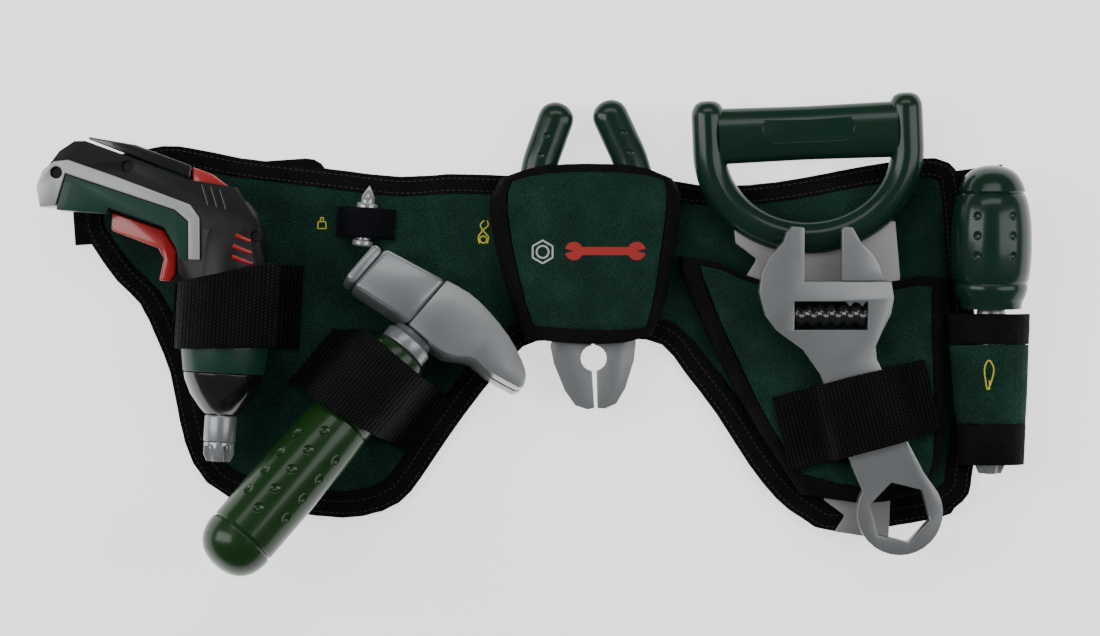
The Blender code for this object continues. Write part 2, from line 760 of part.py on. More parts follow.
def make_drive(driver):
    """Motor, pinion, gear, spindle, chuck and bit, with the nose that they turn in."""
    x = GEAR_SPACING
    can = [(0, 25.5), (3, 25.5), (8.2, 24.5), (8.7, 23), (8.7, 0), (8.2, -1.2), (0, -1.2)]
    motor = turned(can, 24)
    motor.transform(Matrix.Translation((x * MM, 0, 0)))
    piece("driver_motor", motor, driver, "steel")
    shaft = frame("driver_pinion_place", driver, (x, 0, 0))
    pinion = gear(PINION_TEETH, math.pi / PINION_TEETH, -7.8, -3.2, 0)
    piece("driver_pinion", pinion, shaft, "steel")
    output = frame("driver_output_place", driver, (0, 0, 0))
    piece("driver_gear", gear(GEAR_TEETH, 0, -8.0, -3.0, 2.7), output, "white_gear")
    spindle = turned([(0, -2.4), (2.4, -2.4), (2.4, -72), (0, -72)], 16)
    piece("driver_spindle", spindle, output, "steel")
    chuck = [(2.7, -64.3), (8.6, -64.3), (9, -65.5), (9, -79), (2.7, -79), (2.7, -64.3)]
    piece("driver_chuck", turned(chuck, 32), output, "silver_plastic")
    tip = [(0, -73), (2.2, -73), (2.2, -79.4), (8.6, -79.4), (8.6, -86), (6.8, -90), (0, -90)]
    bit = piece("driver_bit", turned(tip, 24), output, "clear_grey")
    flutes = []
    for i in range(4):
        angle = math.radians(45 + 90 * i)
        at = Vector((math.cos(angle), 0, math.sin(angle))) * 8.2
        flutes.append(rod(at + Vector((0, -95, 0)), at + Vector((0, -81.5, 0)), 3.6, 10))
    shaped(bit, "DIFFERENCE", flutes)


def make_nose(driver):
    ring = [(3.4, -22.4), (24.3, -22.4), (24.5, -27), (22.6, -40.6), (3.4, -40.6), (3.4, -22.4)]
    piece("driver_nose_ring", turned(ring, 32), driver, "green_matte")
    cone = [
        (3.4, -41), (22.2, -41), (21.4, -45), (18, -53), (12.5, -60.5), (9.6, -63.8), (3.4, -63.8),
        (3.4, -41),
    ]
    piece("driver_nose_cone", turned(cone, 32), driver, "black_plastic")


def make_driver_inside(driver):
    start, end = battery_run(0)
    for number, side in ((1, 1), (2, -1)):
        shift = Vector((0, 0, side * (BATTERY_R + 0.4)))
        cell = rod(start + shift, end + shift, BATTERY_R, 20)
        piece(f"driver_battery_{number}", cell, driver, "battery_jacket")
    for number, (x, y) in enumerate(DRIVER_SCREWS, 1):
        stem = [(0, 13.4), (2.9, 13.4), (2.9, 9.4), (1.5, 9.2), (1.5, -8), (0, -8.6)]
        screw = turned(stem, 12)
        screw.transform(Matrix.Translation((x * MM, y * MM, 0)) @ Matrix.Rotation(math.pi / 2, 4, "X"))
        piece(f"driver_screw_{number}", screw, driver, "steel")
    make_spring("driver_trigger_spring", (-51.3, 43.6, 0), (-50.2, 48.2, 0), 2.0, 0.35, 4, driver)


def make_driver(belt):
    driver = frame("driver_place", belt, (-171.6, 20.2, SEAT + BARREL_R + 0.4), -3.2)
    make_housing(driver)
    make_wraps(driver)
    make_driver_controls(driver)
    make_nose(driver)
    make_drive(driver)
    make_driver_inside(driver)


# ---------------------------------------------------------------- toy screw


def make_toy_screw(belt):
    place = frame("toy_screw_place", belt, (-98, 46.5, SEAT + 6.3), -7.3)
    profile = [
        (0, 38.5), (2.2, 35), (3.9, 32), (3.9, 28.2), (5.9, 28.2), (6.1, 25), (4.2, 24.4), (4.2, 7.6),
        (5.8, 7.2), (5.9, 4.6), (5, 3.8), (0, 3.8),
    ]
    piece("toy_screw", turned(profile, 24), place, "silver_plastic")


# ---------------------------------------------------------------- hammer


def make_hammer(belt):
    hammer = frame("hammer_place", belt, (-56.9, 12.6, SEAT + 18.6), -40.4, -HAMMER_TILT)
    deep = HEAD_HALF_DEEP
    cap = [(-50, -19.5), (-43.7, -19.5), (-43.7, 6.5), (-50, 6.5)]
    piece("hammer_face", plate([cap], -deep + 1, deep - 1), hammer, "silver_plastic", 2.5)
    poll = [(-43.4, -20), (-13, -16.2), (-6.3, -16.2), (-6.3, 16.2), (-43.4, 8)]
    piece("hammer_poll", plate([poll], -deep, deep), hammer, "silver_plastic", 2.5)
    claw_edge = smooth([(-6, 16.2), (8, 19), (22, 18.5), (40, 15), (55, 9), (62, 4), (64.5, -1.5)], 2)
    under = [(62.5, -3.6), (46, -7), (34, -7), (27, -10.5), (20, -15), (10, -16.2), (-6, -16.2)]
    claw_edge += smooth(under, 2)
    claw = piece("hammer_claw", plate([claw_edge], -deep, deep), hammer, "silver_plastic", 2.0)
    slit = [(36, -30), (80, -30), (80, 30), (41, 30)]
    shaped(claw, "DIFFERENCE", [plate([slit], -2.2, 2.2)])
    collar = [
        (0, -16.6), (11.5, -16.6), (12, -20), (14.2, -21), (14.2, -28), (9.5, -29), (9.5, -62), (0, -62),
    ]
    piece("hammer_neck", turned(collar, 24), hammer, "silver_plastic")
    grip = [
        (0, -63), (9.9, -63), (9.9, -29.4), (16, -29.4), (17, -33), (17.5, -60), (17.8, -79), (16.8, -80.2),
        (17.8, -81.5), (19, -100), (19.6, -130), (19.6, -163), (18.6, -164.5), (19.8, -166), (19, -173),
        (15.5, -180), (9, -184.6), (0, -186),
    ]
    piece("hammer_grip", turned(grip, 32), hammer, "olive_gloss")


# ---------------------------------------------------------------- pliers


JAW_HOLE = (0, -22.5)
JAW_HOLE_R = 7.3


def pliers_outline():
    """The half whose handle is on the left and whose jaw is on the right."""
    outline = [(0.9, -50.5), (5, -51), (11.5, -48.5), (17, -40), (22.5, -24.5), (24, -14.5), (21, -5)]
    outline += arc((0, 0), 14, 0, 110, 7)
    outline += [(-10, 24), (-17, 42), (-25, 39), (-18, 22)]
    outline += arc((0, 0), 14, 150, 262, 7)
    outline += [(0.9, -14.4), (0.9, -15.4)]
    outline += arc(JAW_HOLE, JAW_HOLE_R, 80, -80, 9)
    return outline


def make_pliers(belt):
    pliers = frame("pliers_place", belt, (31.6, 10.1, SEAT + 8.3), 2.5)
    pin = [(0, 6.4), (5.5, 6.4), (6, 5.4), (3.8, 5.3), (3.8, -5.3), (6, -5.4), (5.5, -6.4), (0, -6.4)]
    rivet = turned(pin, 20)
    rivet.transform(Matrix.Rotation(math.pi / 2, 4, "X"))
    piece("pliers_pin", rivet, pliers, "silver_plastic")
    run = smooth([(-15.5, 112), (-20, 101), (-25.7, 86), (-28.6, 68), (-25.5, 48), (-18.5, 31)], 3)
    radii = [PLIERS_GRIP_R] * len(run)
    radii[-1] = PLIERS_GRIP_R * 0.86
    dome = [Vector(run[0]) + (run[0] - run[1]).normalized() * d for d in (9.6, 8, 5)]
    run = dome + run
    radii = [PLIERS_GRIP_R * s for s in (0.2, 0.62, 0.88)] + radii
    tang = [(-8, 19.4), (-16.2, 43), (-25.8, 40), (-19.6, 20)]
    for side, sign in (("left", 1), ("right", -1)):
        half = frame(f"pliers_{side}_place", pliers, (0, 0, 0))
        outline = pliers_outline()
        path, socket = run, tang
        if sign < 0:
            outline = mirrored(outline)
            path = [Vector((-p.x, p.y)) for p in run]
            socket = mirrored(tang)
        metal = plate([outline], -PLIERS_HALF, PLIERS_HALF)
        jaw = piece(f"pliers_{side}_half", metal, half, "silver_plastic")
        low, high = (-9, GAP / 2) if sign > 0 else (-GAP / 2, 9)
        lap = rod((0, 0, low), (0, 0, high), LAP_R, 40)
        pin_bore = rod((0, 0, -9), (0, 0, 9), 4.2, 20)
        shaped(jaw, "DIFFERENCE", [lap, pin_bore])
        bar = tube(path, radii, 5)
        bar.transform(Matrix.Diagonal((1, 1, PLIERS_GRIP_FLAT, 1)))
        handle = piece(f"pliers_{side}_grip", bar, half, "green_gloss")
        room = PLIERS_HALF + 0.4
        shaped(handle, "DIFFERENCE", [plate([socket], -room, room)])


# ---------------------------------------------------------------- adjustable wrench


def wrench_outline():
    head = [
        (-31.5, 107), (-38, 107.5), (-41.5, 104), (-43, 99), (-50, 91.5), (-55, 82.5), (-56.5, 71),
        (-53, 58), (-46.5, 49.5), (-32, 39), (-22, 25), (-16, 8), (-9, -12), (-4, -27),
    ]
    ring = arc(RING_CENTRE, RING_R, 150, 400, 22)
    back = [(36, -30), (26, -11), (19, 8), (13, 26), (9, 34)]
    back += [(8.5, 41), (12, 49), (17, 59), (18.5, 68), (17, 77)]
    return head + ring + back + [(-31.5, 77)]


def make_wrench(belt):
    wrench = frame("wrench_place", belt, (180.6, -45.9, SEAT + 14.8), HANDLE_LEAN, WRENCH_TILT)
    head = frame("wrench_head_place", wrench, (0, 0, 0), -HANDLE_LEAN)
    hexagon = arc(RING_CENTRE, HEXAGON_R, 106, 406, 6)
    window = [(-37, 50), (4, 50), (4, 66), (-37, 66)]
    mesh = plate([wrench_outline(), hexagon, window], 0, WRENCH_THICK)
    body = piece("wrench_body", mesh, head, "silver_plastic")
    low, high = WORM_Z - RACK_HALF - 0.4, WORM_Z + RACK_HALF + 0.4
    channel = block((-30.8, 62, low), (15.4, 80, high))
    pin_hole = rod((-41, WORM_Y, WORM_Z), (8, WORM_Y, WORM_Z), 2.0, 16)
    shaped(body, "DIFFERENCE", [channel, pin_hole])
    pin = rod((-40.5, WORM_Y, WORM_Z), (7.5, WORM_Y, WORM_Z), 1.6, 16)
    piece("wrench_worm_pin", pin, head, "steel")
    make_wrench_jaw(head)
    make_worm(head)


def make_wrench_jaw(head):
    """The movable jaw: a face that stands on the head, and a rack below that the worm drives."""
    slider = frame("wrench_jaw_place", head, (0, 0, 0))
    face = [(-10.5, 77.4), (-10.5, 106), (-9, 107.5), (-4.5, 107)]
    face += [(0.2, 98.5), (6.6, 93), (10.5, 86), (13.2, 77.4)]
    jaw = piece("wrench_movable_jaw", plate([face], 0.4, WRENCH_THICK - 0.4), slider, "silver_plastic")
    foot = WORM_Y + WORM_R + WORM_RIDGE + 0.5
    tip = WORM_Y + WORM_R - WORM_RIDGE + 0.55
    rack = [(-9, 79.5), (-9, foot + 1.2)]
    for i, x in enumerate(rack_valleys()):
        root = foot + 0.6 + 0.2 * (i % 2)
        rack += [(x - 1.4, foot), (x - 0.6, tip), (x + 0.6, tip), (x + 1.4, foot), (x + 3.0, root)]
    rack += [(11.8, 79.5)]
    shaped(jaw, "UNION", [plate([rack], WORM_Z - RACK_HALF, WORM_Z + RACK_HALF)])


def rack_valleys():
    """Where the worm's thread is deepest along its upper side, within the rack's length."""
    start = WORM_X[0] + WORM_PITCH * 0.5
    spots = [start + WORM_PITCH * k for k in range(8)]
    return [x for x in spots if -7 < x < 9]


def make_worm(head):
    """A worm whose thread is a helix: ridges as waves along its length, one turn per pitch."""
    place = frame("wrench_worm_place", head, (0, WORM_Y, WORM_Z))
    rings, sides = 36, 14
    length = WORM_X[1] - WORM_X[0]
    mesh = bpy.data.meshes.new("worm")
    bm = bmesh.new()
    outer, inner = [], []
    for i in range(rings + 1):
        x = WORM_X[0] + length * i / rings
        outer_ring, inner_ring = [], []
        for k in range(sides):
            angle = math.tau * k / sides
            wave = math.cos(math.tau * (x - WORM_X[0]) / WORM_PITCH - angle)
            radius = WORM_R + WORM_RIDGE * wave
            spot = Vector((x, radius * math.cos(angle), radius * math.sin(angle)))
            outer_ring.append(bm.verts.new(spot * MM))
        outer.append(outer_ring)
    for x in (WORM_X[0], WORM_X[1]):
        for k in range(sides):
            angle = math.tau * k / sides
            inner_ring.append(bm.verts.new(Vector((x, 1.9 * math.cos(angle), 1.9 * math.sin(angle))) * MM))
        inner.append(inner_ring)
        inner_ring = []
    for k in range(sides):
        n = (k + 1) % sides
        for i in range(rings):
            bm.faces.new((outer[i][k], outer[i][n], outer[i + 1][n], outer[i + 1][k]))
        bm.faces.new((inner[0][k], inner[0][n], outer[0][n], outer[0][k]))
        bm.faces.new((outer[-1][k], outer[-1][n], inner[1][n], inner[1][k]))
        bm.faces.new((inner[1][k], inner[1][n], inner[0][n], inner[0][k]))
    bmesh.ops.recalc_face_normals(bm, faces=bm.faces)
    bm.to_mesh(mesh)
    bm.free()
    piece("wrench_worm", mesh, place, "black_plastic")


# ---------------------------------------------------------------- saw


BLADE_ROOT = [
    (-43.5, -14), (48.2, -20), (47, 3), (32, 3.5), (18, -2), (0, -4.5), (-18, -2), (-32, 4), (-43.5, 4),
]


def blade_outline():
    """Big teeth down the left edge, a straight back on the right, and an oblique toe."""
    start, end = Vector((-43.0, -5.5)), Vector((6.0, -170.0))
    step = (end - start) / TOOTH_COUNT
    bite = Vector((step.y, -step.x)).normalized() * -8.0
    edge = []
    for i in range(TOOTH_COUNT):
        tip = start + step * i
        edge += [tip, tip + step * 0.62 + bite * 1.0, tip + step * 0.7 + bite * 0.9]
    edge.append(end)
    return [tuple(p) for p in edge] + [(36, -176), (48.5, -28)] + BLADE_ROOT[2:]


def make_saw(belt):
    saw = frame("saw_place", belt, (154.8, 59.4, SEAT + 10.2), 2.5, 2.7)
    curve = [
        (SAW_HALF_WIDE * math.cos(a), SAW_ARC_Y + SAW_ARC_DEEP * math.sin(a))
        for a in [math.radians(180 + 180 * i / 18) for i in range(19)]
    ]
    rise = [(8.8, 0.35), (7.6, 0.65), (4.5, 0.9), (0, 1.0)]
    left = [(-SAW_HALF_WIDE, 66 + dy) for dy, _ in rise]
    right = [(SAW_HALF_WIDE, 66 + dy) for dy, _ in reversed(rise)]
    shares = [s for _, s in rise] + [1.0] * len(curve) + [s for _, s in reversed(rise)]
    bow = tube(left + curve + right, [SAW_TUBE_R * s for s in shares], 6)
    handle = piece("saw_handle", bow, saw, "green_gloss")
    bar = turned([(0, 50), (14.8, 50), (14.2, 0), (14.8, -50), (0, -50)], 24)
    bar.transform(Matrix.Rotation(math.pi / 2, 4, "Z"))
    bar.transform(Matrix.Translation((0, 0.0545, 0)) @ Matrix.Diagonal((1, 1.06, 0.64, 1)))
    shaped(handle, "UNION", [bar])
    hold = inset([Vector(p) for p in BLADE_ROOT], lambda p: -GAP)
    slot = plate([hold], -BLADE_HALF - GAP, BLADE_HALF + GAP)
    shaped(handle, "DIFFERENCE", [slot])
    recess = arc((18, 57), 8, 90, -90, 7) + arc((-18, 57), 8, 270, 90, 7)
    shaped(handle, "DIFFERENCE", [plate([recess], 8.2, 14)])
    blade = plate([blade_outline()], -BLADE_HALF, BLADE_HALF)
    piece("saw_blade", blade, saw, "blade_plastic")


# ---------------------------------------------------------------- screwdriver


def make_screwdriver(belt):
    tool = frame("screwdriver_place", belt, (254.5, -3.9, 23.2), 0.0, 3.9)
    handle = [
        (0, 99.5), (8, 98.2), (14, 94.5), (17.4, 89), (18.7, 85.6), (17.7, 84), (19, 82.4), (21.4, 73),
        (22.5, 58), (22.1, 45), (20.9, 35.6), (19.7, 33.8), (20.4, 32), (19.4, 27), (17.4, 23), (17, 19.6),
        (5.4, 19.6), (5.4, 47), (0, 47),
    ]
    piece("screwdriver_handle", turned(handle, 32), tool, "green_gloss")
    shaft = [
        (0, 46), (5, 46), (5, 19.2), (7.6, 19.2), (SHAFT_R, 17.5), (SHAFT_R, -58), (8.6, -60), (8.6, -68),
        (6.4, -73), (0, -73),
    ]
    rod_piece = piece("screwdriver_shaft", turned(shaft, 24), tool, "clear_grey")
    flutes = []
    for i in range(4):
        angle = math.radians(45 + 90 * i)
        at = Vector((math.cos(angle), 0, math.sin(angle))) * 8.4
        flutes.append(rod(at + Vector((0, -78, 0)), at + Vector((0, -62, 0)), 3.6, 10))
    shaped(rod_piece, "DIFFERENCE", flutes)


# ---------------------------------------------------------------- the whole belt


def make_tool_belt():
    belt = frame("belt", None, (*CENTRE_SHIFT, 0))
    make_panel(belt)
    make_pliers_pocket(belt)
    make_saw_pocket(belt)
    make_pouch(belt)
    make_driver_loop(belt)
    make_hammer_loop(belt)
    make_screw_loop(belt)
    make_wrench_loop(belt)
    for side in fold_places():
        make_waist_strap(side, belt)
    make_driver(belt)
    make_toy_screw(belt)
    make_hammer(belt)
    make_pliers(belt)
    make_wrench(belt)
    make_saw(belt)
    make_screwdriver(belt)


make_tool_belt()
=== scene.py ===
# %% [markdown]
# # A child's tool belt with its tools
# The belt is cloth: a padded green panel bound in black tape, with pockets and elastic loops sewn on.
# The tools in it are moulded plastic. The engineering model already fixes every size, place and joint,
# so this script only dresses it. Each visible piece is made again with finer shape and a surface of its
# own, and rides on the body that it belongs to.

# %% Load the frame
import json
import math

import bmesh
import bpy
from mathutils import Matrix, Vector, noise
from mathutils.bvhtree import BVHTree

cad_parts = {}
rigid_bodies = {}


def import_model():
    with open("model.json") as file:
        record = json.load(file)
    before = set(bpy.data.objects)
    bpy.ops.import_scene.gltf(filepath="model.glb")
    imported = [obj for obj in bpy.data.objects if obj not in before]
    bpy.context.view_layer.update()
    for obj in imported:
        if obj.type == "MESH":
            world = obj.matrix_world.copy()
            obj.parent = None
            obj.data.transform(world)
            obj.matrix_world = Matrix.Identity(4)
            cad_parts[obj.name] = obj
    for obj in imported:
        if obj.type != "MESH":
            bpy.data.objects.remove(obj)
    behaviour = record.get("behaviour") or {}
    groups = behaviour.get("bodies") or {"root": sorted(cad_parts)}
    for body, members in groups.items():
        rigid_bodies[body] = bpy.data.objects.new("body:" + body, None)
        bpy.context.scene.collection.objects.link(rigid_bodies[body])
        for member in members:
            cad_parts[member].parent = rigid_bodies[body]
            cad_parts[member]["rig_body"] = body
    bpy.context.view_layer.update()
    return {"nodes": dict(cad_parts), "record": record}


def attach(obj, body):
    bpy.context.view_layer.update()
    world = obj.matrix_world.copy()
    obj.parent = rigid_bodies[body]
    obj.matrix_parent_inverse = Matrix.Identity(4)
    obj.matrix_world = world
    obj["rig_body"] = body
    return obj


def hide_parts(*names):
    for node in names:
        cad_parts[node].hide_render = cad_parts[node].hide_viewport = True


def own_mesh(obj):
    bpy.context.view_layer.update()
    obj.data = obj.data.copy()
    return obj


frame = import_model()

# %% [markdown]
# ## Frames
# Every tool has a frame of its own, with Y along the tool and Z out of the belt. Drawing each tool
# square in its own frame is far easier than drawing it where it lies. Lengths are in millimetres until
# a piece is finished, when one matrix turns, moves and scales its mesh.

# %% Places of the tools
MM = 0.001
SEAT = 6.9
BELT = Matrix.Translation((-1.0, -2.4, 0))


def stand(place, turn=0.0, tilt=0.0, inside=BELT):
    """A frame tilted about its X, turned about Z and then moved to its place."""
    turned_to = Matrix.Rotation(math.radians(turn), 4, "Z")
    tilted_to = Matrix.Rotation(math.radians(tilt), 4, "X")
    return inside @ Matrix.Translation(place) @ turned_to @ tilted_to


HAMMER_TILT = 12.0
DRIVER = stand((-171.6, 20.2, SEAT + 24.7), -3.2)
HAMMER = stand((-56.9, 12.6, SEAT + 18.6), -40.4, -HAMMER_TILT)
PLIERS = stand((31.6, 10.1, SEAT + 8.3), 2.5)
SAW = stand((154.8, 59.4, SEAT + 10.2), 2.5, 2.7)
SCREWDRIVER = stand((254.5, -3.9, 23.2), 0.0, 3.9)
print("hammer head stands at", [round(v, 1) for v in HAMMER.translation])

# %% [markdown]
# ## Points
# Moulded plastic and cut cloth have flowing edges. A Catmull-Rom curve passes through the few points
# that describe an outline, so it needs no handles to be set, as a Bezier curve would.

# %% Curves through points


def smooth(points, steps, closed=False):
    """Points on a Catmull-Rom curve through the given ones."""
    dots = [Vector(p) for p in points]
    count = len(dots)
    path = []
    for i in range(count if closed else count - 1):
        if closed:
            a, b, c, d = (dots[(i + k) % count] for k in (-1, 0, 1, 2))
        else:
            a, b, c, d = (dots[min(max(i + k, 0), count - 1)] for k in (-1, 0, 1, 2))
        for step in range(steps):
            t = step / steps
            path.append(
                0.5 * (2 * b + (c - a) * t + (2 * a - 5 * b + 4 * c - d) * t**2
                       + (3 * b - a - 3 * c + d) * t**3)
            )
    if not closed:
        path.append(dots[-1])
    return path


def even(points, spacing, closed=False):
    """The same line with points at an even spacing."""
    line = [Vector(p) for p in points] + ([Vector(points[0])] if closed else [])
    lengths = [0.0]
    for a, b in zip(line, line[1:]):
        lengths.append(lengths[-1] + (b - a).length)
    count = max(2, round(lengths[-1] / spacing))
    result, k = [], 0
    for i in range(count if closed else count + 1):
        want = lengths[-1] * i / count
        while k < len(line) - 2 and lengths[k + 1] < want:
            k += 1
        span = lengths[k + 1] - lengths[k]
        result.append(line[k].lerp(line[k + 1], (want - lengths[k]) / span if span else 0))
    return result


def arc(centre, radius, start, end, count):
    """Points on a circle's arc, with its angles in degrees."""
    angles = [math.radians(start + (end - start) * i / (count - 1)) for i in range(count)]
    return [(centre[0] + radius * math.cos(a), centre[1] + radius * math.sin(a)) for a in angles]


def clamp(x, low=0.0, high=1.0):
    return min(max(x, low), high)


print("a smoothed square has", len(smooth([(0, 0), (1, 0), (1, 1), (0, 1)], 8, True)), "points")

# %% [markdown]
# ## Solids
# Three shapes make the pieces that are drawn afresh. A pillow is a flat outline with rounded edges. A
# turned shape comes from a half profile. A tube is a bar along a path. A Bevel modifier would round a
# pillow too, but stepping the outline inwards keeps the faces even.

# %% Pillows


def anticlockwise(points):
    loop = [Vector(p[:2]) for p in points]
    area = sum(a.x * b.y - b.x * a.y for a, b in zip(loop, loop[1:] + loop[:1]))
    return loop if area > 0 else loop[::-1]


def stepped_in(loop, width):
    """An anticlockwise outline moved inwards, its corners mitred, with the same number of points."""
    moved = []
    for i, point in enumerate(loop):
        before = (point - loop[i - 1]).normalized()
        after = (loop[(i + 1) % len(loop)] - point).normalized()
        side = Vector((-before.y - after.y, before.x + after.x))
        if side.length < 1e-6:
            side = Vector((-after.y, after.x))
        side.normalize()
        mitre = max(0.5, side.dot(Vector((-after.y, after.x))))
        moved.append(point + side * width / mitre)
    return moved


def mesh_from(bm, name="shape"):
    mesh = bpy.data.meshes.new(name)
    bm.to_mesh(mesh)
    bm.free()
    return mesh


def levels_mesh(loop, levels):
    """Rings of an outline at (inset, height) levels, closed with a face at each end."""
    bm = bmesh.new()
    rings = [[bm.verts.new((*p, z)) for p in stepped_in(loop, width)] for width, z in levels]
    count = len(loop)
    for below, above in zip(rings, rings[1:]):
        for i in range(count):
            j = (i + 1) % count
            bm.faces.new((below[i], below[j], above[j], above[i]))
    bm.faces.new(rings[0][::-1])
    bm.faces.new(rings[-1])
    bmesh.ops.recalc_face_normals(bm, faces=bm.faces)
    return mesh_from(bm)


def pillow(points, low, high, radius, steps=4, top_levels=()):
    """A flat outline between two heights, its edges rounded, with further levels on its top."""
    loop = anticlockwise(points)
    turns = [math.pi / 2 * k / steps for k in range(steps + 1)]
    levels = [(radius * (1 - math.sin(a)), low + radius * (1 - math.cos(a))) for a in turns]
    levels += [(radius * (1 - math.cos(a)), high - radius * (1 - math.sin(a))) for a in turns]
    return levels_mesh(loop, levels + list(top_levels))


# %% Turned shapes and bars


def turned(profile, steps=72, turn=None):
    """A turned shape about the Y axis. The profile is (radius, y) from the top down."""
    outline = bpy.data.meshes.new("profile")
    outline.from_pydata([(r, 0, y) for r, y in profile], [(i, i + 1) for i in range(len(profile) - 1)], [])
    obj = bpy.data.objects.new("profile", outline)
    bpy.context.scene.collection.objects.link(obj)
    screw = obj.modifiers.new("turn", "SCREW")
    screw.axis = "Z"
    screw.steps = screw.render_steps = steps
    screw.use_merge_vertices = True
    screw.merge_threshold = 0.001
    mesh = taken(obj)
    mesh.transform((turn or Matrix()) @ Matrix.Rotation(math.radians(-90), 4, "X"))
    return mesh


def taken(obj):
    """The evaluated mesh of a helper object, which is then removed."""
    bpy.context.view_layer.update()
    mesh = bpy.data.meshes.new_from_object(obj.evaluated_get(bpy.context.evaluated_depsgraph_get()))
    mesh.materials.clear()
    bm = bmesh.new()
    bm.from_mesh(mesh)
    bmesh.ops.remove_doubles(bm, verts=bm.verts, dist=0.001)
    bmesh.ops.recalc_face_normals(bm, faces=bm.faces)
    bm.to_mesh(mesh)
    bm.free()
    bpy.data.objects.remove(obj)
    return mesh


def tube(points, radii, sides=32, flat=1.0):
    """A closed bar along a path, with a radius at each point and its cross-section flattened in Z."""
    bm = bmesh.new()
    path = [Vector((*p, 0))[:3] if len(p) == 2 else tuple(p) for p in points]
    path = [Vector(p) for p in path]
    rings = []
    for i, (point, radius) in enumerate(zip(path, radii)):
        ahead = (path[min(i + 1, len(path) - 1)] - path[max(i - 1, 0)]).normalized()
        side = ahead.cross(Vector((0, 0, 1))).normalized()
        up = side.cross(ahead)
        ring = []
        for k in range(sides):
            angle = math.tau * k / sides
            ring.append(
                bm.verts.new(point + side * radius * math.cos(angle) + up * radius * flat * math.sin(angle))
            )
        rings.append(ring)
    for a, b in zip(rings, rings[1:]):
        for k in range(sides):
            n = (k + 1) % sides
            bm.faces.new((a[k], a[n], b[n], b[k]))
    bm.faces.new(rings[0][::-1])
    bm.faces.new(rings[-1])
    bmesh.ops.recalc_face_normals(bm, faces=bm.faces)
    return mesh_from(bm)


# %% [markdown]
# ## Joining, cutting and finishing
# A Boolean joins or cuts two closed meshes. It is applied at once through the evaluated mesh, so the
# finished object is a plain mesh with no modifiers, standing at the origin like the model's own nodes.

# %% Booleans and finished pieces


def shaped(mesh, operation, others):
    """The mesh after an exact Boolean with each of the others."""
    body = bpy.data.objects.new("body", mesh)
    bpy.context.scene.collection.objects.link(body)
    helpers = []
    for other in others:
        helper = bpy.data.objects.new("helper", other)
        bpy.context.scene.collection.objects.link(helper)
        helpers.append(helper)
        change = body.modifiers.new("shape", "BOOLEAN")
        change.operation = operation
        change.solver = "EXACT"
        change.object = helper
    result = taken(body)
    for helper in helpers:
        bpy.data.objects.remove(helper)
    return result


def joined(meshes):
    """Several meshes as one, each keeping its own shape."""
    bm = bmesh.new()
    for mesh in meshes:
        bm.from_mesh(mesh)
    return mesh_from(bm)


def finished(name, mesh, place, paint, body, stands_for=(), angle=38, declare=None):
    """A piece of the object: its mesh in the row frame, its material, and the body it rides on."""
    mesh.transform(Matrix.Scale(MM, 4) @ place)
    mesh.name = name
    mesh.materials.clear()
    mesh.materials.append(paint.material)
    mesh.shade_smooth()
    mesh.set_sharp_from_angle(angle=math.radians(angle))
    obj = bpy.data.objects.new(name, mesh)
    bpy.context.scene.collection.objects.link(obj)
    if declare:
        declare(obj)
    else:
        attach(obj, body)
    if stands_for:
        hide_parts(*stands_for)
    print(f"{name}: {len(mesh.polygons)} faces")
    return obj


# %% [markdown]
# ## Shader arithmetic
# Cloth and plastic look right only when something small varies over them. Every pattern here is worked
# out from coordinates with maths nodes. A class that wraps a socket lets the maths be written as plain
# sums, which is shorter and safer than wiring each node by name.

# %% A socket that can be added and multiplied


class Wire:
    """A number on its way through a material's nodes."""

    def __init__(self, paint, socket):
        self.paint = paint
        self.socket = socket

    def math(self, operation, *others):
        return self.paint.add("ShaderNodeMath", [self, *others], operation=operation)

    def __add__(self, other):
        return self.math("ADD", other)

    def __sub__(self, other):
        return self.math("SUBTRACT", other)

    def __rsub__(self, other):
        return self.paint.add("ShaderNodeMath", [other, self], operation="SUBTRACT")

    def __mul__(self, other):
        return self.math("MULTIPLY", other)

    def __truediv__(self, other):
        return self.math("DIVIDE", other)

    def __rtruediv__(self, other):
        return self.paint.add("ShaderNodeMath", [other, self], operation="DIVIDE")

    __radd__ = __add__
    __rmul__ = __mul__

    def wave(self, pitch):
        """From 0 to 1 and back over each pitch."""
        return (self * (math.tau / pitch)).math("SINE") * 0.5 + 0.5

    def between(self, low, high):
        """0 below low, 1 above high, and straight between them."""
        return self.paint.add("ShaderNodeMapRange", [self, low, high, 0.0, 1.0])


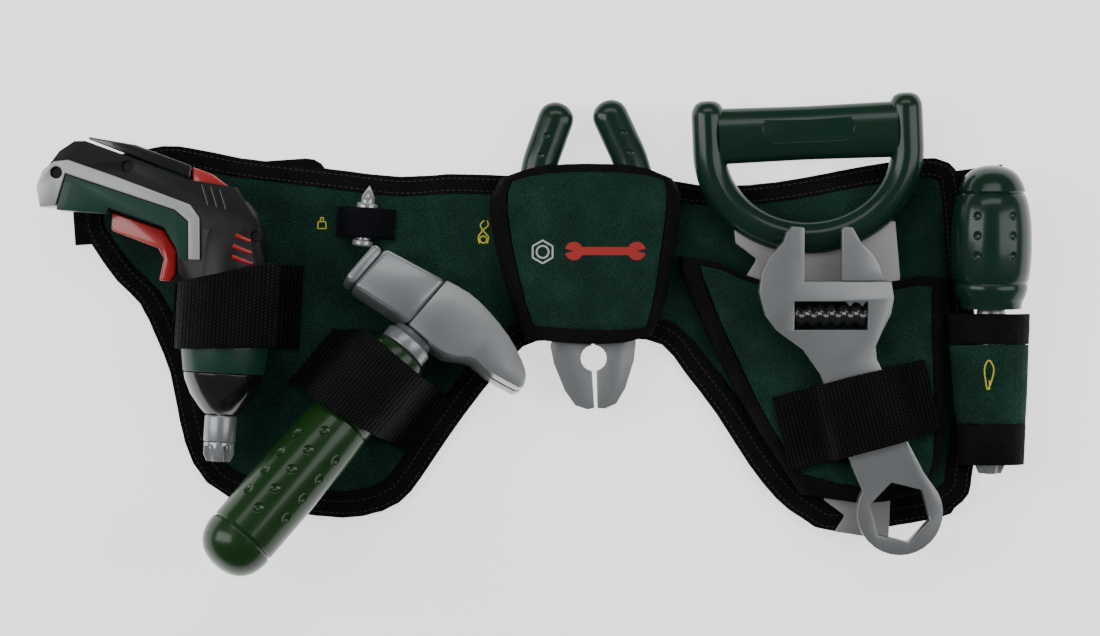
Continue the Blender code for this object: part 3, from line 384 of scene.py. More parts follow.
class Paint:
    """A material, the record's slot that it stands for, and short ways to add nodes to it."""

    def __init__(self, name, slot, colour, roughness, metallic=0.0, coat=0.0):
        self.slot = slot
        self.material = bpy.data.materials.new(name)
        self.material.use_nodes = True
        self.tree = self.material.node_tree
        self.shader = self.tree.nodes["Principled BSDF"]
        self.set("Base Color", (*colour, 1.0))
        self.set("Roughness", roughness)
        self.set("Metallic", metallic)
        self.set("Coat Weight", coat)
        self.set("Coat Roughness", 0.08)

    def set(self, name, value):
        self.feed(self.shader.inputs[name], value)
        return self

    def feed(self, socket, value):
        if isinstance(value, Wire):
            self.tree.links.new(value.socket, socket)
        elif value is not None:
            socket.default_value = value

    def add(self, kind, values=(), output=0, **settings):
        """Any node: its settings, the values of its inputs in order, and the output that is wanted."""
        node = self.tree.nodes.new(kind)
        for key, value in settings.items():
            setattr(node, key, value)
        for place, value in values.items() if isinstance(values, dict) else enumerate(values):
            self.feed(node.inputs[place], value)
        return Wire(self, node.outputs[output])

    def place(self):
        """The piece's own coordinates, in millimetres."""
        spot = self.add("ShaderNodeTexCoord", output="Object")
        return self.add("ShaderNodeVectorMath", {0: spot, "Scale": 1000.0}, operation="SCALE")

    def split(self, vector):
        return [self.add("ShaderNodeSeparateXYZ", [vector], output=i) for i in range(3)]

    def speckle(self, vector, scale, detail=2.0, rough=0.5):
        """Soft noise from 0 to 1; the scale is in features per millimetre."""
        return self.add(
            "ShaderNodeTexNoise", {"Vector": vector, "Scale": scale, "Detail": detail, "Roughness": rough}
        )

    def mix(self, share, first, second):
        """A colour between two."""
        colours = [c if isinstance(c, Wire) else (*c, 1.0) for c in (first, second)]
        return self.add(
            "ShaderNodeMix", {0: share, 6: colours[0], 7: colours[1]}, output=2, data_type="RGBA"
        )

    def bump(self, height, strength, distance=0.0003):
        normal = self.add(
            "ShaderNodeBump", {"Strength": strength, "Distance": distance, "Height": height}
        )
        return self.set("Normal", normal)


print("a Wire adds, multiplies and feeds sockets")

# %% [markdown]
# ## Cloth
# The green cloth is a coarse polyester: slanting threads that change direction every few millimetres,
# painted dark in the gaps as shade and lighter on the crowns as light. The binding is a black herringbone
# tape, and the loops are knitted elastic with small staggered columns, painted the same way. Pictures of
# cloth would fix their scale and repeat, so the weave is made from the cloth's own coordinates instead.

# %% Woven finishes


def turned_flat(paint, turn):
    """The piece's X and Y turned about Z, so that a weave follows its cloth."""
    here = paint.place()
    x, y, _ = paint.split(here)
    c, t = math.cos(math.radians(turn)), math.sin(math.radians(turn))
    return here, x * c + y * t, y * c - x * t


def woven(name, slot, dark, light, pitch, strip, strength, turn=0.0):
    """Slanted threads whose slant turns over every strip, with uneven crowns."""
    paint = Paint(name, slot, dark, 0.85)
    here, x, y = turned_flat(paint, turn)
    slant = (x / strip).math("PINGPONG", 1.0) * strip
    drift = paint.speckle(here, 0.9, 2.0) * (0.7 * pitch)
    threads = (y + slant * 0.9 + drift).wave(pitch)
    cross = (x - y * 0.35 + drift).wave(pitch * 1.25)
    patches = paint.speckle(here, 0.05, 3.0)
    grit = paint.speckle(here, 0.8, 1.0)
    crown = threads * (cross * 0.6 + 0.4)
    # The colour share is painted shade in the thread gaps and painted light on the crowns, with random
    # patches and grit.
    share = (crown * 0.75 + patches * 0.7 + grit * 0.5 - 0.62).between(0.0, 1.0)
    paint.set("Base Color", paint.mix(share, dark, light))
    paint.set("Roughness", crown * -0.15 + 0.95)
    paint.set("Specular IOR Level", 0.15)
    return paint.bump(crown + grit * 0.5, strength, 0.0006)


def knitted(name, slot, dark, light, column, strength, turn=0.0):
    """Columns of small loops, every second column half a loop further on."""
    paint = Paint(name, slot, dark, 0.92)
    here, u, v = turned_flat(paint, turn)
    columns = (u / column).math("PINGPONG", 0.5) * 2.0
    shift = (u / column).math("FLOOR").math("FLOORED_MODULO", 2.0) * (column * 0.45)
    loops = (v + shift + paint.speckle(here, 0.7) * 0.7).wave(column * 0.92)
    crown = columns * (loops * 0.75 + 0.25)
    patches = paint.speckle(here, 0.06, 3.0)
    # Painted shade between the loops and columns and painted light on their crowns, with random patches.
    paint.set("Base Color", paint.mix((crown * 0.9 + patches * 0.4 - 0.3).between(0.0, 1.0), dark, light))
    paint.set("Specular IOR Level", 0.15)
    return paint.bump(crown, strength, 0.0012)


# For each woven cloth the first colour shows in the gaps as painted shade and the second on the crowns as
# painted light.
green_cloth = woven(
    "green cloth", "green_fabric", (0.0035, 0.017, 0.011), (0.030, 0.110, 0.072), 1.3, 7.0, 0.8
)
tape = woven(
    "black binding tape", "black_binding", (0.0015, 0.0014, 0.0014), (0.017, 0.016, 0.016), 1.25, 6.0, 0.8
)
ELASTIC_TURNS = {"driver_loop": -3.2, "hammer_loop": -40.4, "wrench_loop": 14.0}
# For each knitted elastic the first colour shows between the loops as painted shade and the second on the
# loop crowns as painted light.
elastic = {
    node: knitted("black knitted elastic of " + node, "black_elastic", (0.0012, 0.0012, 0.0013),
                  (0.026, 0.026, 0.028), 2.1, 1.0, turn)
    for node, turn in ELASTIC_TURNS.items()
}
smooth_elastic = knitted("blue black elastic", "blue_black_loop", (0.0016, 0.0018, 0.003),
                         (0.012, 0.013, 0.020), 1.2, 0.4, -4.0)
hook_tape = woven(
    "hook and loop tape", "hook_patch", (0.005, 0.005, 0.005), (0.03, 0.03, 0.03), 1.0, 2.0, 0.9
)
print("cloths:", [p.material.name for p in (green_cloth, tape, smooth_elastic, hook_tape)])

# %% [markdown]
# ## Plastic
# The tools are injection moulded. Glossy handles have a thin clear gloss over a deep colour and slight
# waviness; painted parts carry fine metal flake; the driver's shell has a spark-eroded grain. A mirror
# finish with no variation looks like a drawing, so each one gets its own small unevenness.

# %% Moulded finishes


def moulded(name, slot, colour, roughness, metallic=0.0, coat=0.0, grain=0.0, scale=3.0, flake=0.0):
    """Plastic with a faint change of tone, uneven gloss, and a grain of the given strength."""
    paint = Paint(name, slot, colour, roughness, metallic, coat)
    here = paint.place()
    broad = paint.speckle(here, 0.02, 3.0)
    fine = paint.speckle(here, scale, 2.0)
    lighter = tuple(min(1.0, c * (1.28 + flake) + 0.002) for c in colour)
    darker = tuple(c * (0.84 - flake * 0.6) for c in colour)
    paint.set("Base Color", paint.mix(broad * (1.0 - flake) + fine * flake, darker, lighter))
    paint.set("Roughness", (broad - 0.5) * 0.12 + (fine - 0.5) * (0.1 + grain * 0.2) + roughness)
    height = fine * grain + paint.speckle(here, 0.12, 1.0) * 0.12
    return paint.bump(height, 0.35, 0.0003)


silver = moulded(
    "silver painted plastic", "silver_plastic", (0.235, 0.245, 0.255), 0.36, 0.55, 0.25, 0.05, 4.0, 0.12
)
blade_grey = moulded(
    "warm grey painted plastic", "blade_plastic", (0.30, 0.295, 0.285), 0.46, 0.45, 0.0, 0.1, 4.0, 0.1
)
dark_green = moulded("dark green gloss", "green_gloss", (0.004, 0.026, 0.014), 0.24, 0.0, 0.15)
olive_green = moulded("olive green gloss", "olive_gloss", (0.006, 0.034, 0.005), 0.26, 0.0, 0.15)
green_satin = moulded("dark green satin", "green_matte", (0.007, 0.042, 0.025), 0.42, 0.0, 0.15, 0.2, 3.0)
black_gloss = moulded("black gloss", "black_plastic", (0.005, 0.005, 0.005), 0.2, 0.0, 0.6)
black_grain = moulded(
    "grained black", "black_plastic", (0.0045, 0.0043, 0.0042), 0.40, 0.0, 0.0, 0.8, 1.6, 0.25
)
silver_grain = moulded(
    "grained silver", "silver_plastic", (0.40, 0.405, 0.41), 0.42, 0.55, 0.1, 1.0, 2.2, 0.3
)
red_gloss = moulded("red gloss", "red_plastic", (0.40, 0.004, 0.004), 0.3, 0.0, 0.5)
clear_grey = moulded("translucent grey", "clear_grey", (0.36, 0.37, 0.39), 0.16, 0.2, 0.8)
for paint in (dark_green, olive_green, green_satin, black_grain):
    paint.set("Specular IOR Level", 0.28)
clear_grey.set("Transmission Weight", 0.35).set("IOR", 1.49)
steel = moulded("plain steel", "steel", (0.50, 0.50, 0.50), 0.32, 1.0, 0.0, 0.1, 6.0)
nylon = moulded("off-white nylon", "white_gear", (0.72, 0.70, 0.65), 0.5)
jacket = moulded("battery jacket", "battery_jacket", (0.09, 0.10, 0.12), 0.35, 0.2, 0.3)
yellow_thread = moulded("yellow print", "green_fabric", (0.62, 0.58, 0.02), 0.6, 0, 0, 0.6, 2.0, 0.15)
red_print = moulded("red print", "green_fabric", (0.36, 0.012, 0.012), 0.65, 0, 0, 0.6, 2.0, 0.3)
pale_print = moulded("pale grey print", "green_fabric", (0.42, 0.45, 0.44), 0.65, 0, 0, 0.6, 2.0, 0.3)
black_thread = moulded("black thread", "black_binding", (0.020, 0.020, 0.021), 0.55, 0, 0, 0.6, 3.0)
inner_paints = {p.slot: p for p in (steel, nylon, jacket)}
for subpart in frame["record"]["subparts"]:
    inner = inner_paints.get(subpart["material_slot"])
    if subpart["node"].startswith("driver_screw"):
        inner = black_gloss
    if inner:
        materials = frame["nodes"][subpart["node"]].data.materials
        materials.clear()
        materials.append(inner.material)
print("plastics and inner parts are finished")

# %% [markdown]
# ## Dressing the model's own shapes
# The model's solids already have the right outline, so each visible piece starts as a copy of one. Hard
# pieces get rounded edges, because a moulded edge always catches a line of light. Cloth gets a fine net
# of points and a little unevenness, because sewn cloth is never flat. A Subdivision Surface would shrink
# both, and would leave the model's box.

# %% Rounded copies of hard pieces
WELD = 0.002
ROUND_STEPS = 3


def copied(node):
    """The model's mesh in millimetres, with the points of neighbouring faces joined."""
    bm = bmesh.new()
    bm.from_mesh(frame["nodes"][node].data)
    bmesh.ops.scale(bm, vec=(1000, 1000, 1000), verts=bm.verts)
    bmesh.ops.remove_doubles(bm, verts=bm.verts, dist=WELD)
    return bm


def rounded(mesh, width, angle):
    """The mesh with its outward corners rounded. Inward ones stay sharp, so that neighbours still fit."""
    bm = bmesh.new()
    bm.from_mesh(mesh)
    weight = bm.edges.layers.float.new("bevel_weight_edge")
    for edge in bm.edges:
        if edge.is_manifold and edge.is_convex and edge.calc_face_angle() > math.radians(angle):
            edge[weight] = 1.0
    obj = bpy.data.objects.new("rounded", mesh_from(bm))
    bpy.context.scene.collection.objects.link(obj)
    bevel = obj.modifiers.new("round", "BEVEL")
    bevel.width = width
    bevel.segments = ROUND_STEPS
    bevel.limit_method = "WEIGHT"
    bevel.use_clamp_overlap = True
    return taken(obj)


def hard(node, paint, width=0.8, angle=32):
    """A moulded piece: the model's shape with rounded edges."""
    bm = copied(node)
    bmesh.ops.dissolve_limit(bm, angle_limit=math.radians(1.0), verts=bm.verts, edges=bm.edges)
    body = frame["nodes"][node]["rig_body"]
    return finished(node + "_shaped", rounded(mesh_from(bm), width, angle), Matrix(), paint, body, [node])


# %% Uneven copies of cloth pieces


def net(bm, step):
    """Cuts the mesh along a square net, so that it can be bent."""
    xs = [v.co.x for v in bm.verts]
    ys = [v.co.y for v in bm.verts]
    for axis, low, high in ((0, min(xs), max(xs)), (1, min(ys), max(ys))):
        for k in range(1, int((high - low) / step)):
            spot, normal = [0, 0, 0], [0, 0, 0]
            spot[axis], normal[axis] = low + k * step, 1
            everything = bm.verts[:] + bm.edges[:] + bm.faces[:]
            bmesh.ops.bisect_plane(bm, geom=everything, plane_co=spot, plane_no=normal, dist=0.001)
    bmesh.ops.triangulate(bm, faces=[f for f in bm.faces if len(f.verts) > 4])


def uneven(bm, depth, size, lowest):
    """Moves points above a height along their normals, by soft noise of two sizes."""
    bm.normal_update()
    moves = []
    for v in bm.verts:
        broad = noise.noise(v.co / size + Vector((0.3, 7.1, 2.2)))
        fine = noise.noise(v.co / (size * 0.3) + Vector((5.3, 1.1, 9.2)))
        moves.append(v.normal * depth * (broad + 0.45 * fine) * clamp((v.co.z - lowest) / 2))
    for v, move in zip(bm.verts, moves):
        v.co += move


def cloth(node, paint, step, depth, size, lowest=1.0, grow=0):
    """A cloth piece, cut into a net and made uneven to a depth over swellings of a size, both in
    millimetres. It stays even below the lowest height, and grows sideways to meet its binding."""
    bm = copied(node)
    net(bm, step)
    bm.normal_update()
    for v in bm.verts:
        v.co += Vector((v.normal.x, v.normal.y, 0)) * grow
    uneven(bm, depth, size, lowest)
    mesh = mesh_from(bm)
    body = frame["nodes"][node]["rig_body"]

    def declare(obj):
        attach(obj, body)

    return finished(node + "_cloth", mesh, Matrix(), paint, body, [node], 50, declare)


print("copies can be rounded or made uneven")

# %% [markdown]
# ## Fine details
# Dimples, grooves and recesses are cut into the pieces, because a painted dimple loses its shadow as soon
# as the light moves. A ray sent down onto the piece finds where each cut belongs.

# %% Cutters and surfaces


def surface_of(mesh):
    """A search tree over a mesh, for sending rays onto it."""
    bm = bmesh.new()
    bm.from_mesh(mesh)
    tree = BVHTree.FromBMesh(bm)
    bm.free()
    return tree


def hit(tree, place, x, y):
    """Where a ray down the frame's Z meets the surface, and the normal there."""
    down = -(place.to_3x3() @ Vector((0, 0, 1)))
    spot, normal, _, _ = tree.ray_cast(place @ Vector((x, y, 90)), down)
    return spot, normal


def ball(centre, radius):
    bm = bmesh.new()
    bmesh.ops.create_icosphere(bm, subdivisions=3, radius=radius)
    bmesh.ops.translate(bm, vec=centre, verts=bm.verts)
    return mesh_from(bm)


def stadium(x, y, half_long, radius, count=18):
    """A rounded slot's outline."""
    right = arc((x + half_long, y), radius, -90, 90, count)
    return right + arc((x - half_long, y), radius, 90, 270, count)


print("cutters are ready")

# %% [markdown]
# ## The belt
# The panel is two layers of cloth over thin foam. The pockets, loops, pouch and straps are single sheets.

# %% Panel, binding, pockets and straps
panel = cloth("belt_panel", green_cloth, 5.0, 0.55, 30, 3.0, grow=0.9)
binding = cloth("panel_binding", tape, 5.0, 0.28, 9, 3.0)
pliers_front = cloth("pliers_pocket", green_cloth, 3.5, 0.45, 22, 6.0, grow=0.4)
cloth("saw_pocket", green_cloth, 3.5, 0.45, 24, 6.0, grow=0.4)
cloth("pliers_pocket_binding", tape, 3.0, 0.30, 8, 6.5)
cloth("saw_pocket_binding", tape, 3.0, 0.30, 8, 6.5)
cloth("pouch_back", tape, 4.0, 0.1, 20, 2.0)
cloth("pouch_front", green_cloth, 3.0, 0.35, 18, 3.0)
cloth("pouch_top_binding", tape, 3.0, 0.25, 8, 3.0)
cloth("pouch_bottom_binding", tape, 3.0, 0.25, 8, 3.0)
for node, finish in (*elastic.items(), ("screw_loop", smooth_elastic)):
    cloth(node, finish, 3.0, 0.22, 12, 7.5)
for side in ("left", "right"):
    for node in (f"waist_strap_{side}_sewn_end", f"waist_strap_{side}"):
        cloth(node, tape, 4.0, 0.0, 20, 0.5)
for node in ("closure_hook_patch", "closure_loop_patch"):
    cloth(node, hook_tape, 4.0, 0.02, 20, 0.5)

# %% [markdown]
# ## The driver
# The toy driver is two black shells screwed together over a motor, two cells and a gear pair. Its shells,
# trim and grip are one moulding each, and the light runs along their rounded edges.

# %% Driver pieces
for node, finish, width in (
    ("driver_shell_front", black_grain, 1.2), ("driver_shell_back", black_grain, 1.2),
    ("driver_trim", silver_grain, 0.8), ("driver_grip", green_satin, 1.0),
    ("driver_battery_cover", black_gloss, 0.6), ("driver_nose_ring", green_satin, 0.5),
    ("driver_nose_cone", black_gloss, 0.6), ("driver_trigger", red_gloss, 1.0),
    ("driver_direction_switch", red_gloss, 0.8), ("driver_chuck", silver, 0.4),
    ("driver_bit", clear_grey, 0.3), ("toy_screw", clear_grey, 0.35),
):
    hard(node, finish, width)
spring = hard("driver_trigger_spring", steel, 0.05)
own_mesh(spring)

# %% [markdown]
# ## The hand tools
# The pliers, wrench, saw, hammer and screwdriver are single-colour mouldings. Their handles are glossy,
# and the metal parts are painted in two greys.

# %% Hand tools
for node, finish, width in (
    ("hammer_face", silver, 1.2), ("hammer_poll", silver, 1.2), ("hammer_claw", silver, 1.2),
    ("hammer_neck", silver, 0.8), ("pliers_pin", silver, 0.5), ("pliers_left_half", silver, 1.0),
    ("pliers_right_half", silver, 1.0), ("wrench_body", silver, 0.8), ("wrench_movable_jaw", silver, 0.5),
    ("wrench_worm", black_gloss, 0.3), ("saw_blade", blade_grey, 0.4), ("screwdriver_shaft", silver, 0.5),
):
    hard(node, finish, width)

# %% [markdown]
# ## Handles
# The round handles are drawn again from their profiles with many more sides, so that their long
# highlights run straight, and then dimpled and grooved.

# %% Handles drawn finer
HANDLE_SIDES = 96


def rebuilt(node, mesh, place, paint, spots=(), radius=4.4, depth=1.1, cuts=()):
    """A handle in its tool's frame, with dimples at the spots, standing for a node of the model."""
    mesh.transform(place)
    tree = surface_of(mesh)
    balls = []
    for x, y in spots:
        at, normal = hit(tree, place, x, y)
        if at:
            balls.append(ball(at + normal * (radius - depth), radius))
    mesh = shaped(mesh, "DIFFERENCE", [*balls, *cuts]) if balls or cuts else mesh
    body = frame["nodes"][node]["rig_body"]
    return finished(node + "_shaped", mesh, Matrix(), paint, body, [node], 32)


HAMMER_DIMPLES = (
    [(-3, y) for y in (-93, -107, -121, -135, -149)] + [(12, y) for y in (-101, -115, -129, -143)]
    + [(-14, y) for y in (-103, -117, -130, -144)]
)
hammer_profile = [
    (0, -63), (9.9, -63), (9.9, -29.4), (15.4, -29.4), (16.2, -30), (17, -33), (17.5, -60), (17.8, -79),
    (16.8, -80.2), (17.8, -81.5), (18.5, -90), (19, -100), (19.6, -130), (19.6, -163), (18.6, -164.5),
    (19.8, -166), (19.7, -169.5), (19, -173), (17.6, -176.8), (15.5, -180), (12.6, -182.7), (9, -184.6),
    (4.5, -185.8), (0, -186),
]
rebuilt("hammer_grip", turned(hammer_profile, HANDLE_SIDES), HAMMER, olive_green, HAMMER_DIMPLES, 4.6, 1.3)
handle_profile = [
    (0, 99.5), (4, 99.2), (8, 98.2), (11.3, 96.7), (14, 94.5), (16, 91.8), (17.4, 89), (18.7, 85.6),
    (17.7, 84), (19, 82.4), (20.6, 77.5), (21.4, 73), (22.2, 66), (22.5, 58), (22.5, 51), (22.1, 45),
    (21.6, 40), (20.9, 35.6), (19.7, 33.8), (20.4, 32), (20.1, 29.5), (19.4, 27), (18.3, 24.6), (17.4, 23),
    (17, 19.6), (5.4, 19.6), (5.4, 47), (0, 47),
]
SCREWDRIVER_DIMPLES = [(x, y) for x in (-10, 9.5) for y in (72, 61, 50)]
screwdriver_bar = turned(handle_profile, HANDLE_SIDES)
rebuilt("screwdriver_handle", screwdriver_bar, SCREWDRIVER, dark_green, SCREWDRIVER_DIMPLES, 4.2, 1.1)


def pliers_grip(side, sign, spots):
    """A flattened, bowed bar with a domed end."""
    run = smooth([(-15.5, 112), (-20, 101), (-25.7, 86), (-28.6, 68), (-25.5, 48), (-18.5, 31)], 10)
    ahead = (run[0] - run[1]).normalized()
    dome = [(9.8, 0.1), (9.4, 0.34), (8.4, 0.55), (6.8, 0.75), (4.8, 0.9), (2.4, 0.975)]
    path = [run[0] + ahead * far for far, _ in dome] + run
    radii = [10 * share for _, share in dome] + [10.0] * (len(run) - 8) + [10 - 0.175 * k for k in range(8)]
    bar = tube([(-sign * p.x, p.y) for p in path], radii, 48)
    bar.transform(Matrix.Diagonal((1, 1, 0.75, 1)))
    return rebuilt(f"pliers_{side}_grip", bar, PLIERS, dark_green, spots, 3.4, 0.9)


PLIERS_DIMPLES = [(6.2, 111.8), (2.6, 100.9), (49.3, 113.5), (53.1, 102.5)]
pliers_spots = [(PLIERS.inverted() @ BELT @ Vector((x, y, 0))).to_2d() for x, y in PLIERS_DIMPLES]
pliers_grip("left", -1, pliers_spots[:2])
pliers_grip("right", 1, pliers_spots[2:])

bow_turns = [math.radians(180 + 3 * i) for i in range(61)]
bow = [(55.5 * math.cos(a), 45 + 49 * math.sin(a)) for a in bow_turns]
ends = [(8.8, 0.25), (8.5, 0.45), (7.6, 0.65), (6.4, 0.79), (4.5, 0.9), (2.4, 0.98), (0, 1.0)]
left_end = [(-55.5, 66 + dy) for dy, _ in ends]
right_end = [(55.5, 66 + dy) for dy, _ in reversed(ends)]
shares = [s for _, s in ends] + [1.0] * len(bow) + [s for _, s in reversed(ends)]
saw_bow = tube(left_end + bow + right_end, [9.3 * s for s in shares], 56)
bar = turned([(0, 50), (14.8, 50), (14.5, 25), (14.2, 0), (14.5, -25), (14.8, -50), (0, -50)], 72)
bar.transform(Matrix.Rotation(math.pi / 2, 4, "Z"))
bar.transform(Matrix.Translation((0, 54.5, 0)) @ Matrix.Diagonal((1, 1.06, 0.64, 1)))
recess = pillow(stadium(0, 57.0, 18, 8), 8.0, 16, 0.6)
recess.transform(SAW)
rebuilt("saw_handle", shaped(saw_bow, "UNION", [bar]), SAW, dark_green, cuts=[recess])

# %% [markdown]
# ## Prints and stitches
# Small printed pictures show which tool goes where. Each is a fine line laid on the cloth's own surface.
# Stitches repeat at an even pitch along a seam, which is what Geometry Nodes are best at: one path, one
# thread, and named inputs for the pitch and the thread's size.

# %% Lines laid on cloth
UP = Matrix()


def laid(cloths, points, spacing=1.0, lift=0.15, closed=False):
    """Points on top of the cloth under a flat line of the belt's drawing."""
    trees = []
    for piece in cloths:
        mesh = piece.data.copy()
        mesh.transform(Matrix.Scale(1000, 4))
        trees.append(surface_of(mesh))
    line = even([BELT @ Vector((x, y, 0)) for x, y in points], spacing, closed)
    path = []
    for point in line + ([line[0]] if closed else []):
        heights = [found[0].z for found in (hit(tree, UP, point.x, point.y) for tree in trees) if found[0]]
        path.append(Vector((point.x, point.y, max(heights) + lift)) if heights else None)
    return [p for p in path if p]


def printed(name, cloths, lines, paint, radius=0.42):
    """A picture of thin printed lines."""
    bars = []
    for points, closed in lines:
        path = laid(cloths, points, 0.8, 0.1, closed)
        bars.append(tube(path, [radius] * len(path), 8, 0.7))
    return finished(name, joined(bars), Matrix(), paint, "belt", [])


def filled(name, cloth_piece, points, paint):
    """A printed silhouette that follows the cloth."""
    bm = bmesh.new()
    spots = [BELT @ Vector((x, y, 0)) for x, y in points]
    bm.faces.new([bm.verts.new(p) for p in spots])
    net(bm, 2.0)
    bmesh.ops.triangulate(bm, faces=bm.faces)
    mesh = cloth_piece.data.copy()
    mesh.transform(Matrix.Scale(1000, 4))
    tree = surface_of(mesh)
    for v in bm.verts:
        v.co.z = hit(tree, UP, v.co.x, v.co.y)[0].z - 0.2
    grown = bmesh.ops.extrude_face_region(bm, geom=bm.faces[:])
    top = [g for g in grown["geom"] if isinstance(g, bmesh.types.BMVert)]
    bmesh.ops.translate(bm, vec=(0, 0, 0.45), verts=top)
    bmesh.ops.recalc_face_normals(bm, faces=bm.faces)
    return finished(name, mesh_from(bm), Matrix(), paint, "belt", [])


screw_picture = [(-122.4, 64.4), (-118.4, 64.4), (-117.9, 60.5), (-122.9, 60.5)]
screw_stem = [(-121.2, 65), (-121.2, 66.6), (-119.6, 66.6), (-119.6, 65)]
printed("print_bit", [panel], [(screw_picture, True), (screw_stem, False)], yellow_thread, 0.35)
pliers_picture = [
    (smooth([(-31.6, 52.1), (-32.2, 56), (-30, 59.4), (-31.1, 62.7), (-28.8, 65)], 4), False),
    (smooth([(-27.2, 52.1), (-26.6, 56), (-29.4, 59.4), (-26.6, 62.2), (-27.2, 65)], 4), False),
    (arc((-29.4, 54.3), 2.0, 0, 345, 14), True),
]
printed("print_pliers", [panel], pliers_picture, yellow_thread, 0.42)

handle_outline = [
    (251.7, -29.7), (250.6, -24.6), (250, -17.9), (252.3, -13.4), (255.1, -17.9), (254, -24.6),
]
handle_picture = [
    (smooth(handle_outline, 4, True), True),
    ([(252.8, -24.6), (252.8, -29.7)], False),
]
printed("print_screwdriver", [bpy.data.objects["pouch_front_cloth"]], handle_picture, yellow_thread, 0.42)

# %% The pocket's mark: a plain nut beside a plain spanner
nut = arc((4, 47), 6.4, 30, 330, 6)
nut_hole = arc((4, 47), 3.4, 0, 340, 18)
printed("print_nut", [pliers_front], [(nut, True), (nut_hole, True)], pale_print, 0.55)
spanner = (
    [(26, 45.2), (52, 45.2)] + arc((56.5, 47.5), 5.2, 205, 345, 8) + [(56.5, 47.5)]
    + arc((56.5, 47.5), 5.2, 15, 155, 8) + [(26, 49.8)] + arc((21.5, 47.5), 5.2, 30, 165, 8) + [(21.5, 47.5)]
    + arc((21.5, 47.5), 5.2, 195, 330, 8)
)
filled("print_spanner", pliers_front, spanner, red_print)

# %% Three plain slanted bars on the driver's shell, and its grip slots
shell = bpy.data.objects["driver_shell_front_shaped"]
shell_mesh = shell.data.copy()
shell_mesh.transform(Matrix.Scale(1000, 4))
shell_tree = surface_of(shell_mesh)


def on_shell(name, lines, paint, radius):
    """Raised or printed bars on the shell, drawn in the driver's frame."""
    bars = []
    for points in lines:
        path = [hit(shell_tree, DRIVER, p.x, p.y)[0] for p in even(points, 0.8)]
        path = [p for p in path if p]
        bars.append(tube(path, [radius] * len(path), 10, 0.5))
    return finished(name, joined(bars), Matrix(), paint, "driver", [])


on_shell("shell_bars", [[(4, 36), (12, 33)], [(3, 30), (13, 26.5)], [(3, 24), (14, 20.5)]], red_gloss, 1.1)
slots = [[(x - 4, y + 11), (x, y)] for x, y in ((-12, 52), (-7, 51), (-2, 50))]
on_shell("shell_slots", slots, black_gloss, 1.2)

# %% Stitches by Geometry Nodes


def stitch_group():
    """Threads at an even pitch along a curve, as a reusable group with named inputs."""
    tree = bpy.data.node_groups.new("stitches", "GeometryNodeTree")
    face = tree.interface
    face.new_socket("Geometry", in_out="INPUT", socket_type="NodeSocketGeometry")
    for label in ("Pitch", "Thread radius", "Stitch length"):
        face.new_socket(label, in_out="INPUT", socket_type="NodeSocketFloat")
    face.new_socket("Thread", in_out="INPUT", socket_type="NodeSocketMaterial")
    face.new_socket("Geometry", in_out="OUTPUT", socket_type="NodeSocketGeometry")
    kinds = ("NodeGroupInput", "GeometryNodeCurveToPoints", "GeometryNodeMeshIcoSphere",
             "ShaderNodeCombineXYZ", "GeometryNodeInstanceOnPoints", "GeometryNodeRealizeInstances",
             "GeometryNodeSetMaterial", "NodeGroupOutput")
    given, points, thread, size, copies, real, dyed, out = (tree.nodes.new(kind) for kind in kinds)
    points.mode = "LENGTH"
    thread.inputs["Subdivisions"].default_value = 2
    thread.inputs["Radius"].default_value = 1.0
    for start, out_name, end, in_name in (
        (given, "Geometry", points, "Curve"),
        (given, "Pitch", points, "Length"),
        (given, "Thread radius", size, "X"),
        (given, "Thread radius", size, "Y"),
        (given, "Stitch length", size, "Z"),
        (points, "Points", copies, "Points"),
        (points, "Rotation", copies, "Rotation"),
        (thread, "Mesh", copies, "Instance"),
        (size, "Vector", copies, "Scale"),
        (copies, "Instances", real, "Geometry"),
        (real, "Geometry", dyed, "Geometry"),
        (given, "Thread", dyed, "Material"),
        (dyed, "Geometry", out, "Geometry"),
    ):
        tree.links.new(start.outputs[out_name], end.inputs[in_name])
    return tree


STITCHES = stitch_group()


def stitched(name, paths, paint, pitch=3.2, radius=0.32, half_long=1.15):
    """A row of stitches along each path, as a plain mesh."""
    curve = bpy.data.curves.new(name, "CURVE")
    curve.dimensions = "3D"
    for path in paths:
        spline = curve.splines.new("POLY")
        spline.points.add(len(path) - 1)
        for dot, point in zip(spline.points, path):
            dot.co = (*point, 1)
    obj = bpy.data.objects.new(name, curve)
    bpy.context.scene.collection.objects.link(obj)
    rows = obj.modifiers.new("stitches", "NODES")
    rows.node_group = STITCHES
    values = {"Pitch": pitch, "Thread radius": radius, "Stitch length": half_long, "Thread": paint.material}
    for item in STITCHES.interface.items_tree:
        if item.in_out == "INPUT" and item.name in values:
            rows[item.identifier] = values[item.name]
    bpy.context.view_layer.update()
    mesh = bpy.data.meshes.new_from_object(obj.evaluated_get(bpy.context.evaluated_depsgraph_get()))
    bpy.data.objects.remove(obj)
    return finished(name, mesh, Matrix(), paint, "belt", [])


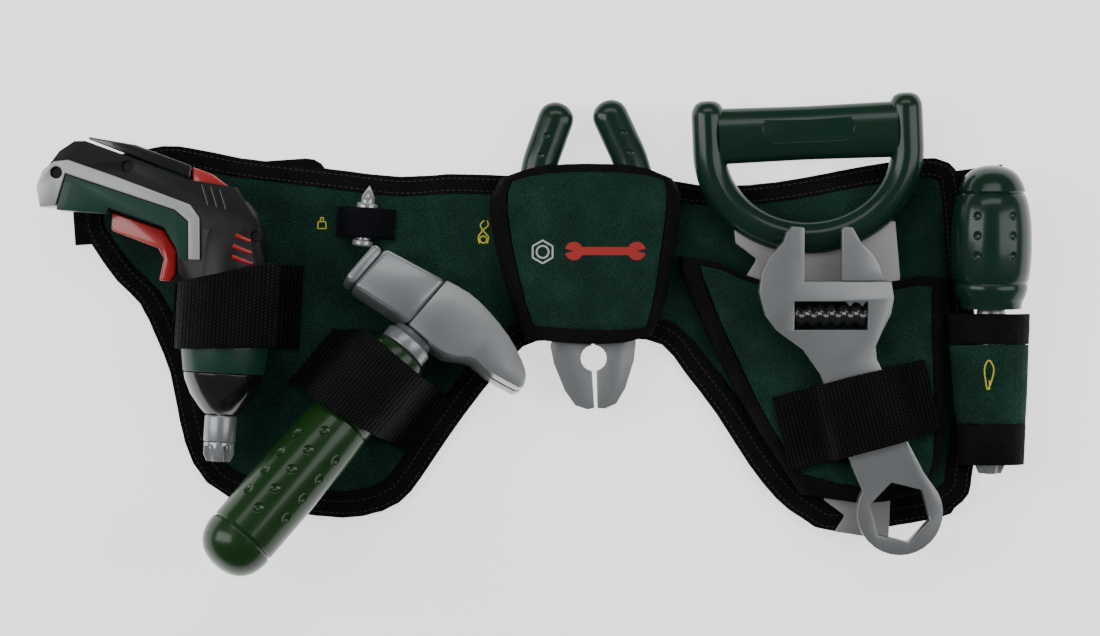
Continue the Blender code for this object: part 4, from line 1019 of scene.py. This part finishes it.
BOTTOM_EDGE = [
    (-254, 82), (-254.5, 62), (-249.5, 50.4), (-235.5, 30.8), (-222.6, 17.9), (-213.6, -1.1), (-205.8, -20.7),
    (-200.8, -45.9), (-192.9, -71.7), (-172.2, -91.3), (-122.9, -101.4), (-97.2, -101.4), (-77, -94.1),
    (-64.7, -80.1), (-51.2, -59.9), (-29.4, -30.2), (-7, -6), (8, -2.5), (28.8, -1.5), (52, -1.2), (71.4, -5),
    (84.3, -20.7), (102.2, -44.2), (120.1, -72.2), (135.8, -91.8), (150.4, -103), (169.4, -110.3),
    (226, -103), (236, -97), (243.9, -89), (246.1, -76.2), (251, -40), (249, 0), (243, 40), (240, 76),
]
TOP_EDGE = [
    (-254, 82), (-246, 98), (-218.1, 105.3), (-200.8, 107), (-166, 100.2), (-110.6, 93.5), (-75.9, 89.6),
    (-47.3, 91.3), (-12, 90.2), (28.8, 89.6), (69.7, 88.5), (92.1, 85.1), (121.2, 85.1), (150, 89),
    (188.4, 96.3), (218.7, 100.2), (228.2, 99.1), (236.6, 94.1), (240, 76),
]
whole_edge = even(smooth(BOTTOM_EDGE[:-1] + TOP_EDGE[:0:-1], 6, True), 2.0, True)


def seam_line(outline, width):
    """The line a given width inside an outline."""
    line = []
    for i, point in enumerate(outline):
        ahead = (outline[(i + 2) % len(outline)] - outline[i - 2]).normalized()
        here = point + Vector((-ahead.y, ahead.x)) * width
        if min((other - here).length for other in outline[::2]) > width * 0.93:
            line.append(here)
    return line


rows = [laid([binding], seam_line(whole_edge, width), 2.0, 0.05, True) for width in (2.6, 9.2)]
stitched("binding_stitches", rows, black_thread)

# %% [markdown]
# ## Floor, light and camera
# A wide pale floor and a bright, even surround keep the shadows short and soft, so that black cloth and
# glossy plastic both show their shape. One large light on each side draws the long highlights on the
# handles. A point light would give hard shadows and tiny highlights.

# %% Stage


def floor_paint():
    paint = Paint("pale floor", None, (0.93, 0.93, 0.93), 0.9)
    dust = paint.speckle(paint.place(), 0.01, 3.0)
    paint.set("Base Color", paint.mix(dust, (0.90, 0.90, 0.90), (0.95, 0.95, 0.95)))
    paint.set("Emission Color", (1, 1, 1, 1))
    paint.set("Emission Strength", 1.3)
    return paint


floor_mesh = bpy.data.meshes.new("floor")
floor_mesh.from_pydata([(-4, -4, -0.0005), (4, -4, -0.0005), (4, 4, -0.0005), (-4, 4, -0.0005)], [],
                       [(0, 1, 2, 3)])
floor = bpy.data.objects.new("floor", floor_mesh)
floor_mesh.materials.append(floor_paint().material)
bpy.context.scene.collection.objects.link(floor)


def softbox(name, spot, target, size, power):
    """A rectangular light that faces its target."""
    data = bpy.data.lights.new(name, "AREA")
    data.shape = "RECTANGLE"
    data.size, data.size_y = size
    data.energy = power
    obj = bpy.data.objects.new(name, data)
    obj.location = spot
    obj.rotation_euler = (Vector(target) - Vector(spot)).to_track_quat("-Z", "Y").to_euler()
    bpy.context.scene.collection.objects.link(obj)


softbox("left_light", (-1.3, 0.25, 1.2), (0, 0, 0), (0.7, 1.6), 16)
softbox("right_light", (1.3, 0.1, 1.2), (0, 0, 0), (0.7, 1.6), 11)
softbox("top_light", (0.0, 1.2, 1.5), (0, 0, 0), (2.0, 0.5), 9)
world = bpy.data.worlds.new("studio")
world.use_nodes = True
world.node_tree.nodes["Background"].inputs["Color"].default_value = (1, 1, 1, 1)
world.node_tree.nodes["Background"].inputs["Strength"].default_value = 0.16
bpy.context.scene.world = world

camera_data = bpy.data.cameras.new("camera")
camera_data.sensor_width = 36
camera_data.lens = 128.6
camera = bpy.data.objects.new("camera", camera_data)
camera.location = (0.0071, 0.0077, 2.22)
bpy.context.scene.collection.objects.link(camera)
bpy.context.scene.camera = camera
print("camera looks straight down from", camera.location.z, "m")
